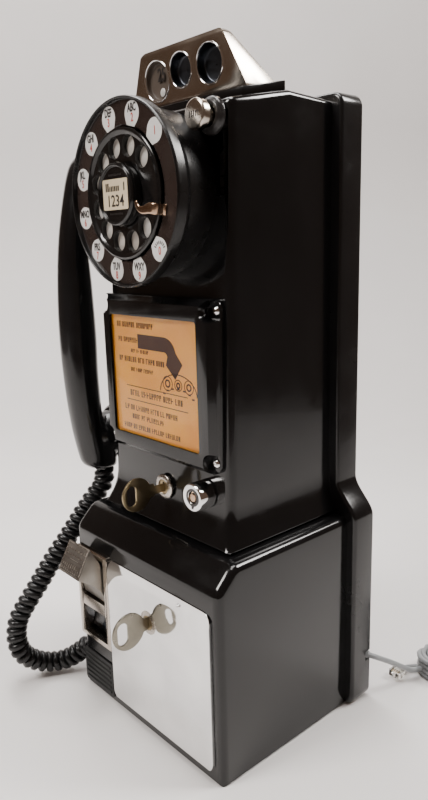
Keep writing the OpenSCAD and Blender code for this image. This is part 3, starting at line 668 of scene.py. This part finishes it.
def upper_housing():
    """The upper shell: a skirt that flares out, a front that leans back and a top that rises."""
    top_half, skirt_half = 63, 69
    skirt_z, skirt_top = 148, 176
    top_front, top_mid, top_rear = 412, (22, 421), 419
    steps = 9

    def at(t):
        z = skirt_z + (skirt_top - skirt_z) * t
        flare = (1 - t) ** 2.2
        return top_half + (skirt_half - top_half) * flare, front_y(z) - 7 * flare, z

    rows = [at(k / steps) for k in range(steps + 1)]

    def faces(bm):
        rings = [[mm(-half, BOARD_FRONT, z), mm(-half, y, z), mm(half, y, z), mm(half, BOARD_FRONT, z)]
                 for half, y, z in rows]
        made = loft(bm, rings, close=True, caps=False)
        last = made[-1]
        front = [bm.verts.new(mm(s * top_half, front_y(top_front), top_front)) for s in (-1, 1)]
        mid = [bm.verts.new(mm(s * top_half, *top_mid)) for s in (-1, 1)]
        rear = [bm.verts.new(mm(s * top_half, BOARD_FRONT, top_rear)) for s in (-1, 1)]
        bm.faces.new((last[0], last[1], front[0], mid[0], rear[0]))
        bm.faces.new((last[3], rear[1], mid[1], front[1], last[2]))
        bm.faces.new((last[1], last[2], front[1], front[0]))
        bm.faces.new((front[0], front[1], mid[1], mid[0]))
        bm.faces.new((mid[0], mid[1], rear[1], rear[0]))
        bm.faces.new((rear[0], rear[1], last[3], last[0]))
        bm.faces.new(made[0])

    def weights(edge):
        a, b = (v.co / MM for v in edge.verts)
        y, z = (a.y + b.y) / 2, (a.z + b.z) / 2
        if a.y > BOARD_FRONT - 1 and b.y > BOARD_FRONT - 1:
            return 0.0
        along_x = abs(a.x - b.x) > 20
        if along_x:
            if z > 400:
                return 0.55 if z < 414 else 0.0
            return 0.2 if z < skirt_z + 1 else 0.0
        upright = abs(a.z - b.z) > 0.5 and y < 0 and z < 407
        if upright:
            return 1.0
        if z > 407:
            return 0.7
        return 0.2 if z < skirt_z + 1 else 0.0

    obj = weighted_cage("upper_housing_shell", faces, weights, 5.5, 6)
    cut(obj, box_piece((-60, -27, 120), (60, BOARD_FRONT + 1, 406)),
        box_piece((-80, -10, 335), (-55, 2, 366)),
        rod(0, DIAL_Z, 36, -45, -10), rod(*BUTTON, 9, -45, -10))
    finish_piece(obj, "black", "casing", "black_paint", ("upper_housing",), 24)


def backboard():
    low_half, top_half = span("backboard", 0)[1], 71
    top = span("backboard", 2)[1]
    r = 8
    flare = [(low_half + (top_half - low_half) * (3 * t * t - 2 * t ** 3), 144 + 26 * t)
             for t in (k / 12 for k in range(13))]
    right = arc(low_half - r, r, r, r, -90, 0, 8) + flare + arc(top_half - r, top - r, r, r, 0, 90, 8)
    outline = right + [(-x, z) for x, z in reversed(right)]
    bm = bmesh.new()
    prism(bm, outline, BOARD_FRONT, BOARD_REAR)
    obj = raw("backboard_shell", bm)
    bevel(obj, 2.6, 5, 50)
    cut(obj, *[rod(x, z, 3.25, BOARD_FRONT - 2, BOARD_REAR + 2) for x in (-48, 48) for z in (225, 375)],
        rod(74, 35, 3, BOARD_FRONT - 2, BOARD_REAR + 2),
        box_piece((40, BOARD_FRONT - 1, 30), (77, BOARD_FRONT + 8, 40)),
        box_piece((70, BOARD_REAR - 7, 31.4), (90, BOARD_REAR + 1, 38.6)))
    finish_piece(obj, "board", "casing", "board_paint", ("backboard",), 24)


lower_housing()
upper_housing()
backboard()


# ---------------------------------------------------------------- coin gauge and button
GAUGE_HOLES = ((-25.6, 436.6, 12), (-1.2, 439.3, 10), (25.6, 438, 11.2))
GAUGE_LEAN = -0.12


def gauge_face(z):
    return -5.3 + GAUGE_LEAN * (z - 421)


def leaned(obj, z, slope):
    """Tips a front-facing piece so that it lies on a leaning face."""
    for vertex in obj.data.vertices:
        vertex.co.y += slope * (vertex.co.z - z * MM)
    return obj


def coin_gauge():
    softened("coin_gauge", "gauge", 1.1, 5)
    for n, (x, z, r) in enumerate(GAUGE_HOLES):
        lip = [(r - 0.2, -3), (r - 0.2, 0.1), (r + 0.4, 0.45), (r + 0.9, 0.1), (r + 1.0, -0.6)]
        rim = turned(f"slot_rim_{n}", lip, x, gauge_face(z), z, "chrome", "casing", "chrome", radius=0.25)
        leaned(rim, z, GAUGE_LEAN)
        bm = bmesh.new()
        deep = 6.2 if n else 3.4
        bowl = [(r - 0.25, -0.8), (r - 0.7, -0.55 * deep), (r - 1.5, -0.92 * deep), (0.4, -deep)]
        lathe(bm, rounded_profile(bowl, 1.6), x, gauge_face(z), z, 64)
        dish = raw(f"slot_cup_{n}", bm)
        modify(dish, "SOLIDIFY", thickness=0.3 * MM, offset=1)
        leaned(dish, z, GAUGE_LEAN)
        finish_piece(dish, "cup" if n else "warm_cup", "casing", "black_paint")


def gauge_number():
    """The coin value in the left opening, and the white spot under it."""
    label("slot_value", "25", (-23.6, gauge_face(440) + 2.7, 440.4), 11.5, "ink", "casing",
          squeeze=0.72, bold=0.25)
    bm = bmesh.new()
    lathe(bm, [(0, 0.3), (2.3, 0.2), (2.6, 0)], -24.2, gauge_face(430) + 2.6, 430.2, 32)
    piece("slot_spot", bm, "white", "casing", "cream")


def label(name, text, place, size, material, body, slot="cream", squeeze=1.0, bold=0.0):
    """Upright characters facing -Y, centred on a place given in mm."""
    data = bpy.data.curves.new(name, "FONT")
    data.body = text
    data.size = size * MM
    data.extrude = 0.08 * MM
    data.offset = bold * MM
    data.align_x, data.align_y = "CENTER", "CENTER"
    data.resolution_u = 3
    text_obj = link(name, data)
    bpy.context.view_layer.update()
    mesh = bpy.data.meshes.new_from_object(text_obj.evaluated_get(bpy.context.evaluated_depsgraph_get()))
    bpy.data.objects.remove(text_obj)
    bpy.data.curves.remove(data)
    mesh.transform(Matrix.Translation(mm(*place)) @ Matrix.Rotation(math.pi / 2, 4, "X")
                   @ Matrix.Diagonal((squeeze, 1, 1, 1)))
    return finish_piece(link(name, mesh), material, body, slot)


def push_button():
    x, z = BUTTON
    y = front_y(z)
    turned("button_cap", [(0, 15), (7.4, 15), (8.5, 14.3), (8.5, 9.8), (5.4, 9.6), (5.4, 3), (2.6, 1),
                          (2.6, -14.4), (0, -14.4)],
           x, y, z, "gauge", "button", "nickel", ("push_button",), 0.5)
    turned("button_socket", [(6.1, -8), (6.1, 5), (8.2, 5), (9.2, 4), (10.3, 3), (10.8, 0.8), (9.8, 0.2)],
           x, y, z, "rough_black", "casing", "black_paint", ("button_collar",), 0.8)
    bm = bmesh.new()
    for k in range(5):
        box(bm, (x - 3.6 + 1.8 * k - 0.35, y - 15.1, z - 1.6), (x - 3.6 + 1.8 * k + 0.35, y - 14.95, z + 1.6))
    piece("button_marks", bm, "ink", "button", "nickel")


coin_gauge()
gauge_number()
push_button()
softened("gauge_plate", "black", 0.5)


# ---------------------------------------------------------------- dial
def petal(angle):
    """A drop-shaped panel, round outside and narrowing towards the dial's centre."""
    middle_r, r, point_r, cut_r = 45.9, 6.9, 33.0, 38.9
    turn = math.acos(r / (middle_r - point_r))
    sweep = 180 - math.degrees(turn)
    outline = arc(middle_r, 0, r, r, sweep, -sweep, 32)
    narrow = (cut_r - point_r) * math.tan(math.pi / 2 - turn)
    outline += [(cut_r, -narrow), (cut_r, narrow)]
    c, s = math.cos(angle), math.sin(angle)
    return [(u * c - v * s, DIAL_Z + u * s + v * c) for u, v in outline]


def dial_at(radius, degrees):
    return radius * math.cos(math.radians(degrees)), DIAL_Z + radius * math.sin(math.radians(degrees))


LETTERS = ["", "ABC", "DEF", "GHI", "JKL", "MNO", "PRS", "TUV", "WXY", ""]


def dial():
    y = DIAL_FACE
    turned("dial_rim", [(47, -33), (49.5, -33), (51, -12.4), (53.2, -9.6), (RIM_R, -7.2), (RIM_R, -1.2),
                        (54.4, 0), (53.6, -0.5), (53.4, -3.3), (52, -3.5), (51, -8), (39, -8), (39, -12),
                        (47, -12), (47, -33)],
           0, y, DIAL_Z, "rim", "casing", "dial_plastic", ("dial_bezel",), 0.7, 144)
    turned("number_plate", [(38.7, -6), (53.3, -6), (53.3, -3.3), (52.6, -3.1), (39.6, -3.1), (38.7, -3.6),
                            (38.7, -6)],
           0, y, DIAL_Z, "ring", "casing", "ring_enamel", ("number_ring",), 0.25, 144)
    for k in range(10):
        bm = bmesh.new()
        prism(bm, petal(math.radians(45 + 30 * k)), y + 2.95, y + 3.3)
        piece(f"petal_{(k + 1) % 10}", bm, "white", "casing", "cream")
        x, z = dial_at(46.4, 45 + 30 * k)
        digit = str((k + 1) % 10)
        low = -0.6 if k in (0, 9) else -3.0
        label(f"digit_{digit}", digit, (x, y + 2.9, z + low), 6.6, "red", "casing", squeeze=0.72, bold=0.1)
        if LETTERS[k]:
            label(f"letters_{digit}", LETTERS[k], (x, y + 2.9, z + 2.4), 6.4, "ink", "casing",
                  squeeze=0.66, bold=0.2)
    bm = bmesh.new()
    x, z = dial_at(46.6, 315)
    for k in range(8):
        a = math.radians(25 + 18.5 * k)
        c, s = math.cos(a), math.sin(a)
        r0, r1, w = 3.7, 5.5, 0.36
        prism(bm, [(x + r0 * c - w * s, z + r0 * s + w * c), (x + r0 * c + w * s, z + r0 * s - w * c),
                   (x + r1 * c + w * s, z + r1 * s - w * c), (x + r1 * c - w * s, z + r1 * s + w * c)],
              y + 2.85, y + 3)
    piece("operator_marks", bm, "ink", "casing", "cream")
    turned("dial_floor", [(6.2, -11.4), (38.3, -11.4), (38.3, -6.3), (6.2, -6.3), (6.2, -11.4)],
           0, y, DIAL_Z, "wheel", "casing", "cream", ("dial_plate",), 0.2)
    for k in range(10):
        x, z = dial_at(28, 45 + 30 * k)
        bm = bmesh.new()
        lathe(bm, [(0, -5.98), (5.9, -5.98), (6.3, -6.1), (6.3, -6.4)], x, y, z, 32)
        piece(f"dial_dot_{k}", bm, "dot", "casing", "cream")
    softened("finger_wheel", "wheel", 0.35, 3)
    turned("hub_ring", [(0, -2.6), (18.6, -2.6), (18.6, 1.4), (18.2, 3.2), (17.4, 4.3), (16.6, 4.4),
                        (16.1, 3.7), (15.9, 2.9), (0, 2.9)],
           0, y, DIAL_Z, "wheel", "finger_wheel", "dial_plastic", ("card_holder",), 0.35)
    number_card()


def number_card():
    y = DIAL_FACE
    bm = bmesh.new()
    prism(bm, round_rect(-12.8, DIAL_Z - 8.8, 12.8, DIAL_Z + 8.8, 1.2), y - 3.35, y - 3.05)
    piece("hub_card", bm, "ivory", "finger_wheel", "cream", ("number_card",))
    label("hub_digits", "1234", (0, y - 3.4, DIAL_Z - 4.0), 9.4, "ink", "finger_wheel",
          squeeze=0.95, bold=0.12)
    bm = bmesh.new()
    widths = (1.1, 1.4, 0.8, 1.2, 0.9, 1.2, 1.0, 1.3)
    x = -9.6
    for w in widths:
        box(bm, (x, y - 3.5, DIAL_Z + 1.8), (x + w, y - 3.35, DIAL_Z + (6.6 if x < -6 else 4.8)))
        x += w + 0.7
    box(bm, (8.8, y - 3.5, DIAL_Z + 1.8), (9.8, y - 3.35, DIAL_Z + 6.6))
    for row in (DIAL_Z + 11.2, DIAL_Z - 11.2):
        for k in range(9):
            box(bm, (-6.5 + 1.5 * k, y - 3.1, row - 0.5), (-5.6 + 1.5 * k, y - 2.98, row + 0.5))
    piece("hub_marks", bm, "ink", "finger_wheel", "cream")


def finger_stop():
    """A bent metal finger: a foot on the ring, a rise over the wheel and a hook towards the hub."""
    y = DIAL_FACE
    tilt = math.radians(-15)
    path = [(42, 2.7, 0), (41.4, 2.3, 0), (40.8, 1.4, 0), (40.5, -0.6, 0), (40.1, -3.0, 0), (38.4, -4.1, 0),
            (35.4, -4.3, -0.4), (32.2, -4.3, -1.8), (29.4, -4.3, -2.8), (26.4, -4.3, -2.8),
            (23.8, -4.3, -1.4), (22.2, -4.3, 0.9)]
    centre = smooth_path([Vector(p) for p in path], 0.8)
    bm = bmesh.new()
    rings = []
    count = len(centre)
    for i, p in enumerate(centre):
        t = (centre[min(i + 1, count - 1)] - centre[max(i - 1, 0)]).normalized()
        share = i / (count - 1)
        wide = 3.1 - 1.9 * max(0.0, (share - 0.42) / 0.58) ** 0.8
        if i == count - 1:
            wide *= 0.5
        across = Vector((0, 0, 1))
        if abs(t.x) >= 0.9 or share >= 0.5:
            across = (across - t * t.z).normalized()
        across = (across - t * across.dot(t)).normalized()
        normal = t.cross(across)
        ring = []
        for a in range(12):
            c, s = math.cos(2 * math.pi * a / 12), math.sin(2 * math.pi * a / 12)
            q = p + across * wide * math.copysign(abs(c) ** 0.6, c) + normal * 0.55 * s
            x = q.x * math.cos(tilt) - q.z * math.sin(tilt)
            z = q.x * math.sin(tilt) + q.z * math.cos(tilt)
            ring.append(mm(x, y + q.y, DIAL_Z + z))
        rings.append(ring)
    loft(bm, rings)
    piece("finger_stop_blade", bm, "stop", "casing", "copper_stop", ("finger_stop",), 50)


dial()
finger_stop()
softened("dial_mechanism", "steel", 0.4)
softened("dial_shaft", "steel", 0.3)


# ---------------------------------------------------------------- instruction card
def instruction_card():
    softened("card_frame", "black", 0.9, 4)
    face = span("instruction_card", 1)[0]
    bm = bmesh.new()
    prism(bm, round_rect(-47.6, 203.9, 47.6, 290.1, 1.4), face, face + 0.7)
    piece("orange_card", bm, "orange", "casing", "card", ("instruction_card",))
    softened("card_window", "glass", 0.2)
    card_marks(face)


def card_marks(face):
    """Greeked lines, a bent arrow and a small pictogram of three coins."""
    bm = bmesh.new()
    y0, y1 = face - 0.12, face + 0.05

    def bar(x0, z0, x1, z1):
        box(bm, (x0, y0, z0), (x1, y1, z1))

    def line(x, z, height, words, gap=1.6):
        for count in words:
            for _ in range(count):
                w = height * random.uniform(0.38, 0.56)
                stem = height * 0.17
                kind = random.random()
                bar(x, z, x + stem, z + height)
                if kind < 0.7:
                    bar(x + w - stem, z + (height * 0.0 if kind < 0.4 else height * 0.45), x + w, z + height)
                if kind > 0.2:
                    at = random.choice((0.0, 0.42, 0.83))
                    bar(x, z + height * at, x + w, z + height * (at + 0.16))
                x += w + height * 0.2
            x += gap

    line(-41, 280.3, 3.6, (2, 6, 8))
    line(-40, 270.2, 3.4, (2, 7))
    line(-26, 263.6, 2.4, (3, 2, 6), 1.2)
    line(-40, 257, 3.6, (2, 6, 3, 4, 4), 1.4)
    line(-27, 250.8, 2.6, (3, 4, 6), 1.2)
    line(-29, 233.9, 4, (4, 8, 4, 3), 1.6)
    bar(-33, 240.2, 32, 240.7)
    bar(-33, 230.6, 32, 231.1)
    line(-36, 223.6, 3.6, (2, 2, 6, 4, 2, 5), 1.3)
    line(-28, 217.6, 3.4, (4, 2, 8), 1.4)
    line(-38, 210.4, 3.4, (4, 2, 6, 6, 7), 1.3)
    shaft = [(-18, 266.8), (-18, 276.4)]
    bend = arc(10, 264.4, 12, 12, 90, 13.5, 8)
    head = [(28, 260.5), (20.5, 250.4), (11.6, 258.6)]
    inner = arc(10, 263.4, 3.4, 3.4, 13.5, 90, 8)
    prism(bm, shaft + bend + head + inner, y0, y1)
    for x, r in ((12.5, 5), (23.2, 3.8), (33.6, 4.6)):
        for radius, thick in ((r, 0.55), (r * 0.55, 1.1)):
            hole = radius - thick
            section = ((radius, y0), (hole, y0), (hole, y1), (radius, y1), (radius, y0))
            loft(bm, [[mm(u, y, v) for u, v in circle(x, 247, q, 40)] for q, y in section], caps=False)
    prism(bm, arc(23, 241.6, 18.6, 12.6, 0, 180, 24) + arc(23, 241.6, 17.9, 11.9, 180, 0, 24), y0, y1)
    for k in range(7):
        a = math.radians(25 + 21.5 * k)
        x, z = 23 + 16 * math.cos(a), 236.6 + 8 * math.sin(a)
        bar(x - 1.2, z - 0.5, x + 1.2, z + 0.5)
    piece("card_print", bm, "card_ink", "casing", "card", angle=60)


def frame_screws():
    for n, (x, z) in enumerate((x, z) for x in (-54, 54) for z in (202, 295)):
        y = front_y(z) - 3.5
        bm = bmesh.new()
        profile = [(0, 1.8), (1.4, 1.75), (2.6, 1.0), (3.1, 0.05), (1.6, 0.05), (1.6, -3.4), (0, -3.4)]
        lathe(bm, rounded_profile(profile, 0.4), x, y, z, 40)
        screw = raw(f"frame_screw_{n}", bm)
        cut(screw, box_piece((x - 4, y - 3, z - 0.32), (x + 4, y - 1.1, z + 0.32)),
            box_piece((x - 0.32, y - 3, z - 1.7), (x + 0.32, y - 1.1, z + 1.7)))
        finish_piece(screw, "chrome", "casing", "steel", ("frame_screws",))


instruction_card()
frame_screws()


# ---------------------------------------------------------------- locks and keys
def tube_keyway():
    """The round slot of a tubular lock, with its key notch below."""
    x, z = 41, 179
    y = front_y(z)
    turned("tube_keyway", [(4.25, 12.3), (4.35, 12.68), (5.7, 12.75), (5.8, 12.3)],
           x, y, z, "ink", "casing", "black_rubber", radius=0.05, steps=64)
    bm = bmesh.new()
    box(bm, (x - 0.7, y - 12.9, z - 7.4), (x + 0.7, y - 12.3, z - 5.2))
    piece("tube_notch", bm, "ink", "casing", "black_rubber")


def locks():
    softened("upper_lock_body", "nickel", 0.4, 3)
    softened("upper_plug", "brass", 0.25)
    softened("upper_key", "brass", 0.25, 3)
    softened("tube_lock_body", "chrome", 0.35, 3)
    softened("tube_plug", "stop", 0.25)
    tube_keyway()
    softened("door_lock", "nickel", 0.3)
    softened("door_plug", "brass", 0.25)
    softened("door_key", "key_nickel", 0.25, 3)


locks()


# ---------------------------------------------------------------- coin return
def coin_return():
    softened("return_frame", "gauge", 0.5, 3)
    softened("return_lever", "satin", 0.4, 3)
    softened("return_flap", "flap", 0.2)
    softened("return_chute", "steel", 0.3)
    softened("lever_pin", "steel", 0.2)
    softened("kick_panel", "kick", 0.35, 3)
    lever_pattern()


def lever_pattern():
    """Raised ribs on the lever's pad, and the frame round them."""
    foot, head = Vector((0, -82, 105)), Vector((0, -71, 125))
    up = (head - foot).normalized()
    out = Vector((0, -up.z, up.y))
    length = (head - foot).length
    x0, x1 = -70.3, -43.4

    def raised(u0, v0, u1, v1, lift):
        """A low block on the pad, from (u0, v0) to (u1, v1) in mm along and up it."""
        corners = [(u0, v0), (u1, v0), (u1, v1), (u0, v1)]
        base = [Vector((x0 + u, 0, 0)) + foot + up * v - out * 0.1 for u, v in corners]
        shrink = 0.18
        top = [Vector((x0 + u + (shrink if u == u0 else -shrink), 0, 0)) + foot
               + up * (v + (shrink if v == v0 else -shrink)) + out * lift for u, v in corners]
        loft(bm, [[p * MM for p in base], [p * MM for p in top]])

    bm = bmesh.new()
    wide = x1 - x0
    raised(0.6, 0.6, wide - 0.6, 1.3, 0.4)
    raised(0.6, length - 1.4, wide - 0.6, length - 0.7, 0.4)
    raised(0.6, 1.3, 1.3, length - 1.4, 0.4)
    raised(wide - 1.3, 1.3, wide - 0.6, length - 1.4, 0.4)
    raised(2, length * 0.47, wide - 2, length * 0.47 + 0.6, 0.35)
    for k in range(9):
        u = 2.6 + 2.5 * k
        raised(u, length * 0.10, u + 0.9, length * 0.38, 0.4)
    for k in range(6):
        for row in range(2):
            u = 3 + 3.7 * k + 1.2 * row
            v = length * (0.58 + 0.17 * row)
            raised(u, v, u + 1.9, v + 1.3, 0.45)
            raised(u + 0.4, v + 1.5, u + 1.2, v + 2.1, 0.3)
    piece("lever_pattern", bm, "nickel", "coin_return_lever", "nickel")
    # a thin darker ground across the pad, under the ribs
    bm = bmesh.new()
    raised(1.3, 1.3, wide - 1.3, length - 1.4, 0.06)
    piece("lever_pad_ground", bm, "pad", "coin_return_lever", "nickel")


coin_return()


# ---------------------------------------------------------------- vault door and coin box
def vault_door():
    door = softened("vault_door", "chrome", 0.8, 12)
    fold, slope = 114 * MM, 0.75
    bm = bmesh.new()
    bm.from_mesh(door.data)
    everything = bm.verts[:] + bm.edges[:] + bm.faces[:]
    bmesh.ops.bisect_plane(bm, geom=everything, plane_co=(0, 0, fold), plane_no=(0, 0, 1))
    front = min(v.co.y for v in bm.verts)
    for v in bm.verts:
        if v.co.z > fold:
            v.co.y = max(v.co.y, front + slope * (v.co.z - fold))
    bm.to_mesh(door.data)
    bm.free()
    door.data.set_sharp_from_angle(angle=math.radians(9))
    x, z = 44, 112.6
    turned("door_rivet", [(0, 1.2), (0.9, 1.1), (1.5, 0.4), (1.6, -0.6)],
           x, BASE_FRONT - 1.6, z, "chrome", "door", "chrome", radius=0.3, steps=32)
    softened("cash_box", "steel", 0.4)


vault_door()


# ---------------------------------------------------------------- handset
STATIONS = [
    (165.6, -34.5, -14.4, 9), (167, -37.6, -14.2, 10.8), (169.5, -40.4, -14.2, 11.8),
    (174, -42.6, -14.4, 12.2), (200, -47.5, -24, 12.4), (235, -51, -26.5, 12.6),
    (270, -52.2, -26, 12.6), (305, -50.7, -27, 12.5), (340, -46.5, -28, 12.2),
    (372, -40, -18, 12), (390, -34, -16, 11), (396.5, -29, -19, 6.5),
]


def station_at(z):
    """Front, back and half width of the handle at a height, on a smooth curve."""
    n = len(STATIONS)
    k = max(i for i in range(n - 1) if STATIONS[i][0] <= z)
    a, b, c, d = STATIONS[max(k - 1, 0)], STATIONS[k], STATIONS[k + 1], STATIONS[min(k + 2, n - 1)]
    t = (z - b[0]) / (c[0] - b[0])
    values = []
    for i in (1, 2, 3):
        before = (c[i] - a[i]) / (c[0] - a[0]) * (c[0] - b[0])
        after = (d[i] - b[i]) / (d[0] - b[0]) * (c[0] - b[0])
        h = (2 * t ** 3 - 3 * t * t + 1, t ** 3 - 2 * t * t + t, -2 * t ** 3 + 3 * t * t, t ** 3 - t * t)
        values.append(h[0] * b[i] + h[1] * before + h[2] * c[i] + h[3] * after)
    return values


def handset():
    bm = bmesh.new()
    low, high = STATIONS[0][0], STATIONS[-1][0]
    heights = [low + 0.4 * (1 - math.cos(math.pi * k / 8)) * 1.5 for k in range(5)]
    heights += [heights[-1] + (high - 1.5 - heights[-1]) * k / 70 for k in range(1, 71)]
    heights += [high - 0.7, high - 0.01]
    rings = []
    for z in heights:
        front, back, half = station_at(z)
        centre, depth = (front + back) / 2, (back - front) / 2
        ring = []
        for k in range(48):
            a = 2 * math.pi * k / 48
            c, s = math.cos(a), math.sin(a)
            power = 0.88 if s < 0 else 0.8
            ring.append(mm(HANDSET_X + half * math.copysign(abs(c) ** power, c),
                           centre + depth * math.copysign(abs(s) ** power, s), z))
        rings.append(ring)
    loft(bm, rings)
    obj = raw("handset_shell", bm)
    bm = bmesh.new()
    for z in (EAR_Z, MOUTH_Z):
        profile = [(0, 24), (9, 23), (14.5, 15), (17.4, 3), (17.4, 0.1), (0, 0.1)]
        lathe(bm, rounded_profile(profile, 4), HANDSET_X, CAP_BACK, z, 64)
    bells = raw("bells", bm)
    modify(obj, "BOOLEAN", operation="UNION", solver="EXACT", object=bells)
    bpy.data.objects.remove(bells)
    modify(obj, "REMESH", mode="VOXEL", voxel_size=0.9 * MM)
    modify(obj, "SMOOTH", iterations=12, factor=0.5)
    finish_piece(obj, "bakelite", "handset", "handset_plastic", ("handset_handle",), 60)
    for name, z, node in (("ear_cap_shell", EAR_Z, "ear_cap"), ("mouth_cap_shell", MOUTH_Z, "mouth_cap")):
        handset_cap(name, z, node)


def handset_cap(name, z, node):
    """A screwed cap with a dished face and a ring of small holes."""
    dish = 3 if node == "ear_cap" else 1
    profile = [(15, 0), (18.5, 0), (CAP_R, -3.6), (CAP_R, -15), (19.4, -19), (16, -19.9), (10, -19.2 + dish),
               (0, -18.6 + dish)]
    bm = bmesh.new()
    lathe(bm, rounded_profile(profile, 2.2, 6), HANDSET_X, CAP_BACK, z, 96)
    obj = raw(name, bm)
    holes = [(0, 0), *circle(0, 0, 6, 6)]
    modify(obj, "SOLIDIFY", thickness=1.6 * MM, offset=-1)
    cut(obj, *[rod(HANDSET_X + dx, z + dz, 1.1, CAP_BACK + 8, CAP_BACK + 24, 20) for dx, dz in holes])
    finish_piece(obj, "bakelite", "handset", "handset_plastic", (node,), 40)
    bm = bmesh.new()
    for x, zz in circle(HANDSET_X, z, CAP_R - 0.12, 36):
        prism(bm, circle(x, zz, 0.45, 8), CAP_BACK + 5, CAP_BACK + 13.5)
    piece(name + "_grip", bm, "bakelite", "handset", "handset_plastic")


handset()
softened("handset_capsules", "steel", 0.4)
boot = turned("handset_boot", [(3, -4), (4.1, -4), (4.1, 0.6), (5.2, 0.2), (5.2, -0.4), (4.15, -0.4),
                               (4.15, 4), (3, 4)],
              0, 0, 0, "rubber", "handset", "black_rubber", ("handset_grommet",), 0.2)
upright = Matrix.Rotation(math.radians(-90), 4, "X")
boot.data.transform(Matrix.Translation(mm(HANDSET_X, -24, 169.2)) @ upright)
softened("hook_lever", "nickel", 0.6, 3)
softened("hook_bracket", "steel", 0.3)
softened("hook_pin", "steel", 0.2)


# ---------------------------------------------------------------- glands, fasteners and works
def glands():
    softened("cord_gland", "rubber", 0.5, 3)
    softened("line_bushing", "vinyl", 0.5, 3)


def works():
    finishes = {"coin_chutes": "rough_black", "coin_hopper": "steel", "coin_relay": "grey_paint",
                "chassis_plate": "steel", "ringer_coil": "copper_wire", "ringer_gongs": "gong",
                "network_block": "green", "housing_screws": "steel"}
    for node, material in finishes.items():
        softened(node, material, 0.3)


glands()
works()


# ---------------------------------------------------------------- floor and light
def stage():
    """A pale sheet that runs under the phone and curves up behind it."""
    bm = bmesh.new()
    profile = [(-0.95, -0.0005), (0.75, -0.0005)]
    profile += arc(0.75, 0.6, 0.6, 0.6, -90, 0, 12)[1:]
    profile.append((1.35, 2.1))
    turn = Matrix.Rotation(YAW, 3, "Z")
    rows = [[bm.verts.new(turn @ Vector((x, y, z))) for y, z in profile] for x in (-1.5, 1.1)]
    for k in range(len(profile) - 1):
        bm.faces.new((rows[0][k], rows[0][k + 1], rows[1][k + 1], rows[1][k]))
    mesh = bpy.data.meshes.new("floor")
    bm.to_mesh(mesh)
    bm.free()
    floor = link("floor", mesh)
    paper = Shade("pale_paper", (0.72, 0.70, 0.69), 0.8)
    paper.color(paper.noise(3, 4), (0.70, 0.68, 0.67), (0.74, 0.72, 0.71))
    mesh.materials.append(paper.material)
    mesh.shade_smooth()


def area(name, place, target, size, power, color, spread=180):
    data = bpy.data.lights.new(name, "AREA")
    data.spread = math.radians(spread)
    data.shape = "RECTANGLE"
    data.size, data.size_y = size
    data.energy = power
    data.color = color
    light = link(name, data)
    light.location = place
    light.rotation_euler = (Vector(target) - Vector(place)).to_track_quat("-Z", "Y").to_euler()


def lights():
    world = bpy.data.worlds.new("studio")
    world.use_nodes = True
    world.node_tree.nodes["Background"].inputs["Color"].default_value = (0.36, 0.235, 0.165, 1)
    world.node_tree.nodes["Background"].inputs["Strength"].default_value = 0.30
    bpy.context.scene.world = world
    area("key", (-0.55, -1.75, 1.95), (0, 0.2, 0.1), (0.8, 0.8), 60, (1.0, 0.96, 0.92))
    area("wall_wash", (-0.9, 0.35, 2.3), (-0.8, 1.0, 0.3), (1.8, 0.5), 46, (1.0, 0.98, 0.97))
    area("overhead", (0.1, -0.2, 2.4), (0, 0, 0), (1.0, 1.0), 36, (1.0, 0.97, 0.94))
    area("right_rear", (0.72, 0.92, 1.35), (0, 0, 0.43), (0.6, 0.6), 5, (1.0, 0.97, 0.94), 60)


stage()
lights()
